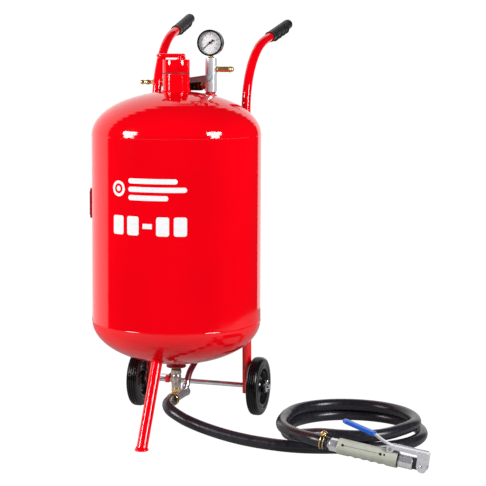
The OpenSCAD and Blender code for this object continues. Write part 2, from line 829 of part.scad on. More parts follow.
// Pressed lever: two cheeks on the pivot, a bridge over the nozzle and a tail for the sleeve.
module gun_lever() {
    cheek = [[-7, 0], [-7, 7.5], [79, 7.5], [79, -28], [74, -34], [63, -34], [58, -28], [58, 0]];
    tail = [[8, 6.2], [-4, 6.2], [-38, 20.4], [-102.8, 33], [-102.5, 34.6], [-37.7, 22], [-3.7, 7.8], [8, 7.8]];
    color("silver") gun_place() translate([pivot_x, 0, pivot_z]) difference() {
        union() {
            for (low = [-lever_out, lever_in]) slab(low, low + lever_out - lever_in) {
                circle(r = 6.4);
                polygon(cheek);
            }
            translate([-5, -lever_out + 0.2, 6]) cube([83.8, 2 * lever_out - 0.4, 1.4]);
            translate([77.2, -lever_in - 0.5, -20]) cube([1.5, 2 * lever_in + 1, 27]);
            slab(-8, 8) polygon(tail);
        }
        rod_y(2.55, -20, 20);
    }
    color("silver") gun_place() translate([pivot_x, 0, pivot_z]) rod_y(2.45, -12.5, 12.5);
}

module lever_sleeve() {
    color([0.1, 0.35, 0.8]) gun_place() translate([pivot_x - 38, 0, pivot_z + 20.4]) rotate([0, 11, 0]) difference() {
        translate([-70, -10.5, -3.4]) cube([70, 21, 8.4]);
        translate([-66.2, -8.1, -0.1]) cube([80, 16.2, 1.9]);
    }
}

// Rubber pad that shuts the nozzle until the lever is squeezed, riveted between the cheeks.
module nozzle_seal() {
    color([0.1, 0.1, 0.1]) gun_place() translate([nozzle_end + 0.5, -lever_in, -11]) cube([21, 2 * lever_in, 21]);
}

tank_barrel();
top_head();
bottom_head();
filler_neck();
filler_cap();
cap_handle();
cap_gasket();
left_handle_tube();
right_handle_tube();
tube_brackets();
left_grip();
right_grip();
front_leg();
leg_foot();
axle();
left_tyre();
left_rim();
left_bush();
right_tyre();
right_rim();
right_bush();
axle_washers();
split_pins();
plate_bracket();
data_plate();
outlet_flange();
outlet_nipple();
grit_valve_body();
grit_valve_ball();
grit_valve_lever();
grit_lever_sleeve();
mixing_tee();
tee_connector();
air_hose();
air_manifold();
manifold_nipple();
gauge_case();
gauge_stem();
gauge_dial();
gauge_needle();
gauge_glass();
safety_valve_body();
safety_valve_pull();
line_nipple();
air_tee();
air_valve_body();
air_valve_ball();
air_valve_lever();
inlet_line();
inlet_plug();
blast_hose();
hose_coil();
hose_tail();
tank_hose_clamp();
gun_inlet();
gun_body();
gun_nozzle();
gun_lever();
lever_sleeve();
nozzle_seal();
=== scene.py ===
"""Looks of a wheeled pressure-feed abrasive blaster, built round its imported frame.

Metres, +Z up, front leg towards -Y. Detail is drawn in millimetres and placed by a
matrix that ends in MM, so that its numbers are the sizes of the real pieces.
"""

import json
import math

import bmesh
import bpy
from mathutils import Matrix, Vector, noise


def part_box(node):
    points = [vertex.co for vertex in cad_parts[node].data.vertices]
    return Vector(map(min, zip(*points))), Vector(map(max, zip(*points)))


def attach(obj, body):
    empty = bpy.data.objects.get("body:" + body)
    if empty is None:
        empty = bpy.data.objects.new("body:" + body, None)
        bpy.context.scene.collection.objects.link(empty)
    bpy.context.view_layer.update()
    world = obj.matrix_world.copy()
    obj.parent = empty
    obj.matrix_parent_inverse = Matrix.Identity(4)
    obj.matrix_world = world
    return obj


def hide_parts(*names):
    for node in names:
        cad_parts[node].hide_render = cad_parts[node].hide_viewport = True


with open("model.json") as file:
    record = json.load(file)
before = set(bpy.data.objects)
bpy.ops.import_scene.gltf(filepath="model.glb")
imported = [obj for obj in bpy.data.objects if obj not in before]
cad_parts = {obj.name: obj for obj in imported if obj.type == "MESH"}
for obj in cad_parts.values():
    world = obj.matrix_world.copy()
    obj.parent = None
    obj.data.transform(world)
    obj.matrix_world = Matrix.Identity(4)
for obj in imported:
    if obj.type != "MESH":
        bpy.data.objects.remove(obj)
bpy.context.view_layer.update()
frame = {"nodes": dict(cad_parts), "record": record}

MM = Matrix.Scale(0.001, 4)


def shift(x, y, z):
    return Matrix.Translation((x, y, z))


def turn(axis, degrees):
    return Matrix.Rotation(math.radians(degrees), 4, axis)


def middle(node):
    low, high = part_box(node)
    return (low + high) / 2


# Local Z along +X or along +Y.
ALONG_X = turn("Y", 90)
ALONG_Y = turn("X", -90)

# ---- places, as in the design ----
TANK_Y = middle("tank_barrel").y
TANK = shift(0, TANK_Y, 0) @ MM
MANIFOLD = TANK @ shift(66.5, 45, 0)
LINE = MANIFOLD @ shift(0, 0, 773.5) @ turn("Z", 165)
GAUGE = MANIFOLD @ shift(0, 0, 868)
TEE = TANK @ shift(0, 0, 66) @ turn("Z", -8) @ turn("X", 5)
PORT = TEE @ shift(0, 41, 0) @ turn("X", -38)
INLET = TANK @ shift(-109, 206, 775)
GUN = TANK @ shift(421, -193, 39) @ turn("Z", -2.5) @ turn("Y", 7.6)
PIVOT = GUN @ shift(109, 0, 21)

TANK_R = 190
SEAM_LOW = 246
SEAM_HIGH = 664
HEAD_H = 97
NECK_R = 30.15
CAP_LOW = 801
CAP_TOP = 831
BEND_R = 174.5
BEND_ANGLE = 75.6
BEND_Z = {-1: 724, 1: 708}
GRIP_START = 33
GRIP_LEN = 150
GRIP_R = 12.6
HOSE_R = 13
SIDE_NAME = {-1: "left", 1: "right"}


def tube_place(side):
    lean = turn("Z", -4 * side) @ turn("X", -1.03) @ turn("Y", -0.89 * side)
    return TANK @ shift(110.6 * side, 173.6, BEND_Z[side]) @ lean


def handle_end(side):
    angle = math.radians(BEND_ANGLE)
    reach = shift(0, BEND_R * (1 - math.cos(angle)), BEND_R * math.sin(angle))
    return tube_place(side) @ reach @ turn("X", -BEND_ANGLE)


def wheel_place(side):
    centre = middle(f"{SIDE_NAME[side]}_tyre")
    return shift(0, centre.y, centre.z) @ MM @ turn("Y", 90 * side)


# ---- camera ----
def make_camera():
    bearing = math.radians(19.1272)
    distance = 3.3998
    height = 0.8613
    data = bpy.data.cameras.new("camera")
    data.sensor_width = 36
    data.lens = 112.63
    data.shift_x = 0.1547
    data.shift_y = -0.1235
    data.clip_end = 60
    camera = bpy.data.objects.new("camera", data)
    camera.location = (
        distance * math.sin(bearing),
        TANK_Y - distance * math.cos(bearing),
        height,
    )
    camera.rotation_euler = (math.radians(84.8453), 0, math.radians(19.4504))
    bpy.context.scene.collection.objects.link(camera)
    bpy.context.scene.camera = camera


make_camera()


# ---- materials ----
def dimmed(colour, share):
    return tuple(c * share for c in colour) + (1.0,)


class Material:
    """A Principled surface whose colour, gloss and relief vary by noise in object space."""

    def __init__(self, name, colour, rough, metal=0.0, coat=0.0):
        self.material = bpy.data.materials.new(name)
        self.material.use_nodes = True
        self.colour = colour
        self.rough = rough
        self.nodes = self.material.node_tree.nodes
        self.links = self.material.node_tree.links
        self.shader = self.nodes["Principled BSDF"]
        self.shader.inputs["Base Color"].default_value = (*colour, 1.0)
        self.shader.inputs["Roughness"].default_value = rough
        self.shader.inputs["Metallic"].default_value = metal
        self.shader.inputs["Coat Weight"].default_value = coat
        self.shader.inputs["Coat Roughness"].default_value = 0.03
        self.place = self.nodes.new("ShaderNodeTexCoord").outputs["Object"]

    def texture(self, scale, detail=3.0, stretch=(1, 1, 1)):
        """Noise with that many cells a metre, drawn out along an axis by a small stretch."""
        mapping = self.nodes.new("ShaderNodeMapping")
        mapping.inputs["Scale"].default_value = stretch
        self.links.new(self.place, mapping.inputs["Vector"])
        texture = self.nodes.new("ShaderNodeTexNoise")
        texture.inputs["Scale"].default_value = scale
        texture.inputs["Detail"].default_value = detail
        self.links.new(mapping.outputs["Vector"], texture.inputs["Vector"])
        return texture.outputs["Fac"]

    def mottle(self, scale, share, detail=3.0, stretch=(1, 1, 1), low=0.35, high=0.65):
        """Colour that drifts between its own value and that share of it."""
        ramp = self.nodes.new("ShaderNodeValToRGB")
        ramp.color_ramp.elements[0].position = low
        ramp.color_ramp.elements[0].color = dimmed(self.colour, share)
        ramp.color_ramp.elements[1].position = high
        ramp.color_ramp.elements[1].color = dimmed(self.colour, 1.0)
        self.links.new(self.texture(scale, detail, stretch), ramp.inputs["Fac"])
        self.links.new(ramp.outputs["Color"], self.shader.inputs["Base Color"])
        return self

    def gloss(self, scale, spread, detail=3.0, stretch=(1, 1, 1)):
        """Roughness that drifts by spread either way."""
        drift = self.nodes.new("ShaderNodeMapRange")
        drift.inputs["From Min"].default_value = 0.3
        drift.inputs["From Max"].default_value = 0.7
        drift.inputs["To Min"].default_value = max(0.0, self.rough - spread)
        drift.inputs["To Max"].default_value = self.rough + spread
        self.links.new(self.texture(scale, detail, stretch), drift.inputs["Value"])
        self.links.new(drift.outputs["Result"], self.shader.inputs["Roughness"])
        return self

    def relief(self, scale, height, detail=3.0, stretch=(1, 1, 1)):
        """Fine bumps of that height in millimetres."""
        bump = self.nodes.new("ShaderNodeBump")
        bump.inputs["Distance"].default_value = height * 0.001
        bump.inputs["Strength"].default_value = 1.0
        self.links.new(self.texture(scale, detail, stretch), bump.inputs["Height"])
        self.links.new(bump.outputs["Normal"], self.shader.inputs["Normal"])
        return self


def make_materials():
    red = Material("red_powder_coat", (0.9, 0.0, 0.006), 0.06)
    red.mottle(9, 0.96).gloss(30, 0.02).relief(120, 0.01, 2)
    # dark_red_paint: the tank's red paint darkened, painted shade for welded parts that sit in shadow under
    # and beside the tank
    dark_red = Material("dark_red_coat", (0.42, 0.004, 0.02), 0.25, coat=0.2)
    dark_red.mottle(40, 0.8).gloss(90, 0.06).relief(500, 0.03, 2)
    white = Material("white_paint", (0.93, 0.93, 0.93), 0.28)
    white.mottle(60, 0.97).gloss(120, 0.04).relief(600, 0.01, 2)
    gasket = Material("gasket_rubber", (0.03, 0.02, 0.02), 0.6)
    gasket.mottle(300, 0.7).gloss(300, 0.1).relief(900, 0.05)
    grip = Material("grip_rubber", (0.018, 0.018, 0.02), 0.36)
    grip.mottle(160, 0.75).gloss(200, 0.08).relief(1400, 0.06, 4)
    grip.shader.inputs["Specular IOR Level"].default_value = 0.25
    steel = Material("zinc_plated_steel", (0.8, 0.84, 0.88), 0.15, metal=0.93)
    steel.mottle(70, 0.86, 4).gloss(260, 0.07, 4, (0.1, 1, 1)).relief(1500, 0.012, 2, (0.05, 1, 1))
    tyre = Material("tyre_rubber", (0.007, 0.0065, 0.0075), 0.2)
    tyre.mottle(120, 0.7, 5).gloss(160, 0.05, 3).relief(1100, 0.02, 3)
    rim = Material("rim_plastic", (0.012, 0.012, 0.014), 0.16)
    rim.mottle(80, 0.8).gloss(90, 0.05).relief(350, 0.03, 2)
    nylon = Material("bush_nylon", (0.72, 0.7, 0.64), 0.4)
    nylon.mottle(200, 0.9).gloss(240, 0.06).relief(900, 0.02)
    plate = Material("plate_aluminium", (0.78, 0.79, 0.81), 0.3, metal=1.0)
    plate.mottle(60, 0.9).gloss(700, 0.08, 3, (1, 1, 0.05)).relief(1800, 0.01, 2, (1, 1, 0.05))
    brass = Material("brass", (0.88, 0.64, 0.28), 0.22, metal=0.85)
    brass.mottle(140, 0.82, 4).gloss(400, 0.06, 3).relief(1800, 0.012, 2)
    nickel = Material("nickelled_brass", (0.62, 0.57, 0.49), 0.26, metal=0.8)
    nickel.mottle(160, 0.78, 4).gloss(260, 0.08, 4).relief(1400, 0.025, 3)
    # Only partly metal: the light grey diffuse share is painted reflection, standing in for the bright
    # surroundings that chrome would mirror
    chrome = Material("satin_chrome", (0.8, 0.88, 0.93), 0.17, metal=0.4)
    chrome.mottle(50, 0.95).gloss(220, 0.03, 4).relief(1500, 0.004, 2)
    vinyl_red = Material("red_vinyl", (0.72, 0.004, 0.012), 0.32)
    vinyl_red.mottle(120, 0.88).gloss(160, 0.06).relief(500, 0.04, 2)
    zinc = Material("zinc_casting", (0.4, 0.4, 0.43), 0.3, metal=0.6)
    zinc.mottle(260, 0.75, 5).gloss(380, 0.09, 5).relief(1300, 0.07, 5)
    # lever_alloy: a lighter, cyan-tinted, non-metal copy of the zinc casting; painted light for the lever in
    # the shade of the neck and manifold, tinted against the tank's red bounce light
    lit_lever_zinc = Material("lever_alloy", (0.26, 0.42, 0.44), 0.3)
    lit_lever_zinc.mottle(260, 0.85, 5).gloss(380, 0.08, 5).relief(1300, 0.05, 5)
    lit_lever_zinc.shader.inputs["Specular IOR Level"].default_value = 1.0
    air_hose = Material("red_hose_rubber", (0.16, 0.008, 0.016), 0.4)
    air_hose.mottle(150, 0.8).gloss(200, 0.07).relief(1000, 0.04, 3)
    black = Material("black_plastic", (0.01, 0.01, 0.011), 0.1)
    black.mottle(120, 0.8).gloss(160, 0.03).relief(700, 0.008, 2)
    black.shader.inputs["Specular IOR Level"].default_value = 0.3
    dial = Material("dial_enamel", (0.95, 0.98, 1.0), 0.4)
    dial.mottle(220, 0.97).gloss(220, 0.05).relief(900, 0.005, 2)
    ink = Material("dial_ink", (0.05, 0.05, 0.07), 0.45)
    ink.mottle(500, 0.8).gloss(400, 0.06).relief(900, 0.005, 2)
    band = Material("dial_band", (0.5, 0.52, 0.62), 0.45)
    band.mottle(400, 0.9).gloss(400, 0.06).relief(900, 0.005, 2)
    glass = Material("gauge_glass", (0.2, 0.22, 0.22), 0.02)
    glass.gloss(60, 0.01).relief(80, 0.003, 2)
    glass.shader.inputs["Alpha"].default_value = 0.06
    hose = Material("blast_hose_rubber", (0.018, 0.0172, 0.024), 0.27)
    hose.mottle(60, 0.75, 5).gloss(120, 0.07, 5).relief(420, 0.04, 5)
    hose.shader.inputs["Specular IOR Level"].default_value = 0.36
    aluminium = Material("turned_aluminium", (0.78, 0.79, 0.83), 0.24, metal=0.75)
    aluminium.mottle(120, 0.9).gloss(500, 0.06, 3).relief(1800, 0.01, 2)
    khaki = Material("khaki_paint", (0.46, 0.475, 0.4), 0.36, coat=0.1)
    khaki.mottle(70, 0.9, 4).gloss(260, 0.07, 4).relief(900, 0.03, 3)
    blue = Material("blue_vinyl", (0.004, 0.1, 0.56), 0.3)
    blue.mottle(120, 0.85).gloss(150, 0.06).relief(420, 0.05, 2)
    floor = Material("studio_floor", (0.4, 0.4, 0.4), 0.8)
    floor.mottle(2, 0.995).gloss(3, 0.05).relief(40, 0.01, 2)
    floor.shader.inputs["Emission Color"].default_value = (1, 1, 1, 1)
    floor.shader.inputs["Emission Strength"].default_value = 0.1
    made = {
        "painted_red": red, "dark_red_paint": dark_red, "gasket_rubber": gasket,
        "grip_rubber": grip, "bright_steel": steel, "tyre_rubber": tyre, "rim_plastic": rim,
        "bush_plastic": nylon, "plate_metal": plate, "brass": brass, "nickelled_brass": nickel,
        "chromed_steel": chrome, "red_vinyl": vinyl_red, "zinc_casting": zinc,
        "air_hose_rubber": air_hose, "black_plastic": black, "dial_white": dial,
        "clear_glass": glass, "blast_hose_rubber": hose, "turned_aluminium": aluminium,
        "cast_body_paint": khaki, "blue_vinyl": blue, "white_paint": white, "ink": ink,
        "band": band, "floor": floor, "lever_alloy": lit_lever_zinc,
    }
    return {slot: look.material for slot, look in made.items()}


LOOKS = make_materials()
SLOT_OF = {part["node"]: part["material_slot"] for part in frame["record"]["subparts"]}
for node_name, node_object in frame["nodes"].items():
    for node_slot in node_object.material_slots:
        node_slot.link = "OBJECT"
        node_slot.material = LOOKS[SLOT_OF[node_name]]


# ---- mesh tools: each returns (points, faces) drawn in millimetres ----
def joined(*shapes):
    points, faces = [], []
    for more_points, more_faces in shapes:
        first = len(points)
        points += more_points
        faces += [[first + i for i in face] for face in more_faces]
    return points, faces


def moved(matrix, shape):
    return [matrix @ Vector(p) for p in shape[0]], shape[1]


def skin(rings, closed_ends=True, loop=False):
    """A surface through rings of the same number of points."""
    sides = len(rings[0])
    points = [Vector(p) for ring in rings for p in ring]
    faces = []
    for i in range(len(rings) if loop else len(rings) - 1):
        a, b = i * sides, (i + 1) % len(rings) * sides
        faces += [[a + k, a + (k + 1) % sides, b + (k + 1) % sides, b + k] for k in range(sides)]
    if closed_ends and not loop:
        faces.append(list(range(sides))[::-1])
        faces.append([(len(rings) - 1) * sides + k for k in range(sides)])
    return points, faces


def lathe(outline, segments=64):
    """Turns (radius, height) points about Z. An outline off the axis closes on itself."""
    on_axis = outline[0][0] < 1e-6 and outline[-1][0] < 1e-6
    angles = [2 * math.pi * i / segments for i in range(segments)]
    rings = [
        [(max(r, 1e-4) * math.cos(a), max(r, 1e-4) * math.sin(a), z) for a in angles]
        for r, z in outline
    ]
    return skin(rings, closed_ends=on_axis, loop=not on_axis)


def prism(outline, low, high):
    """An outline in X and Y, given thickness along Z."""
    return skin([[(x, y, z) for x, y in outline] for z in (low, high)])


def hexagon(across, low, high, chamfer=0.8):
    """A hexagon bar along Z whose corners are turned down at both ends."""
    corner = across / math.sqrt(3)
    flat = across / 2

    def ring(radius, z):
        steps = [math.radians(10 * i) for i in range(36)]
        reach = [flat / math.cos((a + math.pi / 6) % (math.pi / 3) - math.pi / 6) for a in steps]
        return [(min(d, radius) * math.cos(a), min(d, radius) * math.sin(a), z)
                for a, d in zip(steps, reach)]

    drop = (corner - flat) * 0.7
    return skin([
        ring(flat * 0.98, low), ring(corner, low + max(drop, chamfer)),
        ring(corner, high - max(drop, chamfer)), ring(flat * 0.98, high),
    ])


def arc(cx, cy, r, start, end, steps):
    return [
        (cx + r * math.cos(math.radians(start + (end - start) * i / steps)),
         cy + r * math.sin(math.radians(start + (end - start) * i / steps)))
        for i in range(steps + 1)
    ]


def rounded_box(width, height, r, steps=4):
    x, y = width / 2 - r, height / 2 - r
    return (arc(x, y, r, 0, 90, steps) + arc(-x, y, r, 90, 180, steps)
            + arc(-x, -y, r, 180, 270, steps) + arc(x, -y, r, 270, 360, steps))


def rounded(corners, r, steps=4):
    """The outline with each corner rounded to radius r, or less where its sides are short."""
    made = []
    count = len(corners)
    for i, corner in enumerate(corners):
        here = Vector(corner)
        back = Vector(corners[i - 1]) - here
        on = Vector(corners[(i + 1) % count]) - here
        cut = min(r, back.length * 0.45, on.length * 0.45)
        a, b = here + back.normalized() * cut, here + on.normalized() * cut
        for k in range(steps + 1):
            t = k / steps
            made.append(tuple(a * (1 - t) ** 2 + here * 2 * t * (1 - t) + b * t * t))
    return made


def smooth_path(points, steps):
    """A Catmull-Rom curve through the points."""
    pts = [Vector(p) for p in points]
    path = []
    for i in range(len(pts) - 1):
        a, b, c, d = (pts[max(0, min(len(pts) - 1, i + k))] for k in (-1, 0, 1, 2))
        for k in range(steps):
            t = k / steps
            path.append(0.5 * (2 * b + (c - a) * t + (2 * a - 5 * b + 4 * c - d) * t ** 2
                               + (3 * b - a - 3 * c + d) * t ** 3))
    return path + [pts[-1]]


def wire(path, r, sides=12, loop=False):
    """A round bar along a path, its ends slightly rounded."""
    path = [Vector(p) for p in path]
    count = len(path)
    step = (path[1] - path[0]).normalized()
    side = step.orthogonal().normalized()
    rings = []
    for i, point in enumerate(path):
        before = path[i - 1] if i or loop else path[0]
        after = path[(i + 1) % count] if i < count - 1 or loop else path[-1]
        way = (after - before).normalized()
        side = (side - way * side.dot(way)).normalized()
        other = way.cross(side)
        size = r if loop or 0 < i < count - 1 else r * 0.8
        rings.append([
            point + size * (math.cos(2 * math.pi * k / sides) * side
                            + math.sin(2 * math.pi * k / sides) * other)
            for k in range(sides)
        ])
    return skin(rings, loop=loop)


def ring_path(r, z=0.0, count=48, start=0.0, end=360.0):
    whole = abs(end - start) >= 360
    return [
        (r * math.cos(math.radians(start + (end - start) * i / (count if whole else count - 1))),
         r * math.sin(math.radians(start + (end - start) * i / (count if whole else count - 1))), z)
        for i in range(count)
    ]


def make(name, shape, place, body, slot, look=None, stands_for=(), bevel=0.0, sharp=34):
    """Turns a shape into a piece that rides on a body and takes its finish from a slot."""
    mesh = bpy.data.meshes.new(name)
    mesh.from_pydata([place @ Vector(p) for p in shape[0]], [], shape[1])
    work = bmesh.new()
    work.from_mesh(mesh)
    bmesh.ops.remove_doubles(work, verts=work.verts, dist=1e-6)
    bmesh.ops.recalc_face_normals(work, faces=work.faces)
    if bevel:
        edges = [e for e in work.edges if e.is_manifold and e.calc_face_angle(0) > math.radians(30)]
        bmesh.ops.bevel(work, geom=edges, offset=bevel * 0.001, segments=2, affect="EDGES",
                        clamp_overlap=True)
    work.to_mesh(mesh)
    work.free()
    mesh.shade_smooth()
    mesh.set_sharp_from_angle(angle=math.radians(sharp))
    piece = bpy.data.objects.new(name, mesh)
    bpy.context.scene.collection.objects.link(piece)
    mesh.materials.append(LOOKS[look or slot])
    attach(piece, body)
    if stands_for:
        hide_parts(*stands_for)
    return piece


def cut_away(piece, shape, place):
    """Cuts a shape out of a piece and leaves a plain mesh."""
    mesh = bpy.data.meshes.new("cutter")
    mesh.from_pydata([place @ Vector(p) for p in shape[0]], [], shape[1])
    work = bmesh.new()
    work.from_mesh(mesh)
    bmesh.ops.recalc_face_normals(work, faces=work.faces)
    work.to_mesh(mesh)
    work.free()
    cutter = bpy.data.objects.new("cutter", mesh)
    bpy.context.scene.collection.objects.link(cutter)
    modifier = piece.modifiers.new("cut", "BOOLEAN")
    modifier.object = cutter
    modifier.solver = "EXACT"
    bpy.context.view_layer.update()
    solved = piece.evaluated_get(bpy.context.evaluated_depsgraph_get())
    result = bpy.data.meshes.new_from_object(solved)
    piece.modifiers.remove(modifier)
    old = piece.data
    name = old.name
    piece.data = result
    bpy.data.meshes.remove(old)
    result.name = name
    bpy.data.objects.remove(cutter)
    bpy.data.meshes.remove(mesh)
    result.shade_smooth()
    result.set_sharp_from_angle(angle=math.radians(34))


# ---- hoses ----
ROOT = "tank_and_frame"

# Routes in metres from the tank's axis, as in the design.
BLAST_ROUTE = [
    (-0.0014, -0.0097, 0.0651), (-0.0034, -0.025, 0.0637), (-0.0034, -0.043, 0.062),
    (0.0016, -0.0605, 0.060), (0.0106, -0.076, 0.0565), (0.022, -0.086, 0.0525),
    (0.036, -0.0925, 0.0475), (0.053, -0.098, 0.0415), (0.074, -0.104, 0.036),
    (0.099, -0.110, 0.0305), (0.129, -0.116, 0.025), (0.163, -0.122, 0.020),
    (0.202, -0.1275, 0.016), (0.240, -0.132, 0.014), (0.285, -0.136, 0.013),
    (0.325, -0.135, 0.013), (0.365, -0.126, 0.013), (0.402, -0.113, 0.013),
]
TAIL_ROUTE = [
    (0.253, 0.020, 0.039), (0.256, -0.020, 0.039), (0.264, -0.058, 0.0395),
    (0.279, -0.092, 0.0405), (0.302, -0.125, 0.042), (0.332, -0.157, 0.044),
    (0.366, -0.181, 0.0455), (0.4012, -0.1921, 0.0416),
]
AIR_ROUTE = [
    (0.030, 0.071, 0.7735), (0.0335, 0.0845, 0.7725), (0.036, 0.110, 0.765),
    (0.033, 0.144, 0.752), (0.026, 0.176, 0.734), (0.019, 0.198, 0.707),
    (0.014, 0.206, 0.672), (0.012, 0.208, 0.550), (0.012, 0.208, 0.410),
    (0.012, 0.207, 0.292), (0.013, 0.203, 0.238), (0.014, 0.185, 0.192),
    (0.014, 0.157, 0.161), (0.013, 0.124, 0.141), (0.0115, 0.094, 0.125),
    (0.0095, 0.068, 0.111), (0.0077, 0.055, 0.0925), (0.0066, 0.0472, 0.0801),
]
INLET_ROUTE = [
    (-0.0436, 0.090, 0.7735), (-0.0405, 0.102, 0.7735), (-0.039, 0.125, 0.774),
    (-0.043, 0.151, 0.7745), (-0.053, 0.175, 0.775), (-0.068, 0.194, 0.775),
    (-0.084, 0.2035, 0.775), (-0.098, 0.206, 0.775),
]
COIL_AT = (0.402, 0.038)
COIL_R = 0.149
LAP_LOW, LAP_HIGH = 0.013, 0.039
CLIMB_START, CLIMB_END = 205, 264


def eased(value, start, end):
    """0 before the start and 1 after the end, with a smooth slope between."""
    t = max(0.0, min(1.0, (value - start) / (end - start)))
    return t * t * (3 - 2 * t)


def coil_points():
    """From the front anticlockwise, round the left a second time, climbing onto a tighter turn."""
    points = []
    for angle in range(-75, 541, 15):
        z = LAP_LOW + (LAP_HIGH - LAP_LOW) * eased(angle, CLIMB_START, CLIMB_END)
        z += 0.003 * math.exp(-((angle - 335) / 25) ** 2)
        tighter = eased(angle, 285, 345) * (1 - eased(angle, 450, 530))
        r = COIL_R - 0.0115 * tighter
        points.append((COIL_AT[0] - 0.003 * tighter + r * math.cos(math.radians(angle)),
                       COIL_AT[1] + r * math.sin(math.radians(angle)), z))
    return points


def make_hose(name, route, radius, slot, stands_for):
    data = bpy.data.curves.new(name, "CURVE")
    data.dimensions = "3D"
    data.bevel_depth = radius
    data.bevel_resolution = 8
    data.use_fill_caps = True
    path = smooth_path([Vector(p) + Vector((0, TANK_Y, 0)) for p in route], 4)
    spline = data.splines.new("POLY")
    spline.points.add(len(path) - 1)
    for point, place in zip(spline.points, path):
        point.co = (*place, 1)
    spline.use_smooth = True
    hose = bpy.data.objects.new(name, data)
    bpy.context.scene.collection.objects.link(hose)
    data.materials.append(LOOKS[slot])
    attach(hose, ROOT)
    if stands_for:
        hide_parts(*stands_for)
    return hose, path


blast_hose, blast_path = make_hose(
    "blast_hose_run", BLAST_ROUTE + coil_points() + TAIL_ROUTE, HOSE_R * 0.001,
    "blast_hose_rubber", ("blast_hose", "hose_coil", "hose_tail"))
air_hose, air_path = make_hose("air_hose_run", AIR_ROUTE, 0.007, "air_hose_rubber", ("air_hose",))
inlet_hose, inlet_path = make_hose("inlet_hose_run", INLET_ROUTE, 0.007, "air_hose_rubber",
                                   ("inlet_line",))


# ---- tank ----
def bead_along(path, r, loop, seed):
    """A weld bead whose ripples swell and shrink along its path."""
    swollen = []
    points, faces = wire(path, r, 8, loop)
    for i, point in enumerate(points):
        centre = Vector(path[i // 8])
        ripple = 1 + 0.22 * noise.noise(centre * 0.35 + Vector((seed, 0, 0)))
        swollen.append(centre + (point - centre) * ripple)
    return swollen, faces


def head_height(r):
    """Height of the dished head's outside above its seam, at that distance from the axis."""
    return HEAD_H * math.sqrt(max(0.0, 1 - (r / TANK_R) ** 2))


def make_welds():
    for name, z in (("seam_bead_low", SEAM_LOW), ("seam_bead_high", SEAM_HIGH)):
        make(name, bead_along(ring_path(TANK_R - 0.5, z, 240), 1.5, True, z), TANK, ROOT,
             "painted_red")
    neck_z = SEAM_HIGH + head_height(NECK_R)
    make("neck_bead", bead_along(ring_path(NECK_R + 0.6, neck_z + 0.6, 90), 2.6, True, 7), TANK,
         ROOT, "painted_red")
    seam = []
    for i in range(120):
        z = SEAM_LOW + 2 + (SEAM_HIGH - SEAM_LOW - 4) * i / 119
        seam.append((TANK_R * math.cos(math.radians(100)) * 1.0, TANK_R * math.sin(math.radians(100)), z))
    make("long_seam_bead", bead_along(seam, 1.4, False, 3), TANK, ROOT, "painted_red")


def on_barrel(turn_deg, z, lift):
    """A point above the barrel, turned clockwise from its front as seen from above."""
    a = math.radians(-90 + turn_deg)
    return ((TANK_R + lift) * math.cos(a), (TANK_R + lift) * math.sin(a), z)


PAINT_LOW, PAINT_HIGH = 0.05, 0.5
DEGREES_PER_MM = 360 / (2 * math.pi * TANK_R)


def stripe(left, right, low, high, r_share=1.0):
    """A bar of paint with rounded ends, between two turns and two heights on the barrel."""
    x0, x1 = left / DEGREES_PER_MM, right / DEGREES_PER_MM
    mid, half = (low + high) / 2, (high - low) / 2
    r = half * r_share
    ends = [r * (1 - math.cos(math.radians(a))) for a in range(0, 91, 10)]
    inner = [x0 + r + (x1 - x0 - 2 * r) * i / 24 for i in range(1, 24)]
    stations = [x0 + e for e in ends] + inner + [x1 - e for e in reversed(ends)]
    rings = []
    for x in stations:
        inset = max(0.0, r - (x - x0), r - (x1 - x))
        h = max(0.05, half - r + math.sqrt(max(0.0, r * r - inset * inset)))
        rings.append([on_barrel(x * DEGREES_PER_MM, mid + s * h, lift)
                      for s, lift in ((-1, PAINT_LOW), (-1, PAINT_HIGH), (1, PAINT_HIGH),
                                      (1, PAINT_LOW))])
    return skin(rings)


def barrel_ring(turn_deg, z, outer, inner, steps=48):
    """A flat ring of paint on the barrel."""
    rings = []
    for r, lift in ((outer, PAINT_LOW), (outer, PAINT_HIGH), ((inner + outer) / 2, PAINT_HIGH),
                    (inner, PAINT_HIGH), (inner, PAINT_LOW)):
        rings.append([
            on_barrel(turn_deg + r * math.cos(2 * math.pi * k / steps) * DEGREES_PER_MM,
                      z + r * math.sin(2 * math.pi * k / steps), lift) for k in range(steps)])
    return skin(rings, closed_ends=False)


def make_graphics():
    """White marks on the barrel's front: a nozzle sign, three jets and a row of blocks."""
    upper = [barrel_ring(-21.5, 556, 17, 11), barrel_ring(-21.5, 556, 5.5, 0.5)]
    for right, z in ((20, 574), (26, 556), (14, 538)):
        upper.append(stripe(-13.5, right, z - 5.5, z + 5.5))
    make("upper_graphic", joined(*upper), TANK, ROOT, "painted_red", look="white_paint", sharp=60)
    lower = [stripe(left, right, 457, 498, 0.25)
             for left, right in ((-26, -17.5), (-14.5, -6), (6, 14.5), (17.5, 26))]
    lower.append(stripe(-3.2, 3.2, 472, 483, 0.25))
    make("lower_graphic", joined(*lower), TANK, ROOT, "painted_red", look="white_paint", sharp=60)


def make_filler():
    cap = [(0, CAP_TOP), (NECK_R - 1.6, CAP_TOP), (NECK_R - 0.5, CAP_TOP - 0.5),
           (NECK_R, CAP_TOP - 1.8), (NECK_R, CAP_LOW + 0.9), (NECK_R - 0.6, CAP_LOW),
           (25.1, CAP_LOW)]
    for i in range(8):
        z = CAP_LOW - 1.5 - i * 2
        cap += [(25.05, z), (25.05, z - 0.6), (24.1, z - 1.0), (24.1, z - 1.6)]
    cap += [(23.6, CAP_LOW - 18), (20.6, CAP_LOW - 18), (20.6, CAP_LOW - 2), (0, CAP_LOW - 2)]
    make("filler_cap_turned", lathe(cap, 96), TANK, "cap", "painted_red",
         stands_for=("filler_cap",))
    beads = [moved(shift(12, s * 13, 0), bead_along(ring_path(5.1, CAP_TOP + 0.4, 28), 1.5, True, s))
             for s in (-1, 1)]
    make("cap_handle_beads", joined(*beads), TANK, "cap", "painted_red")


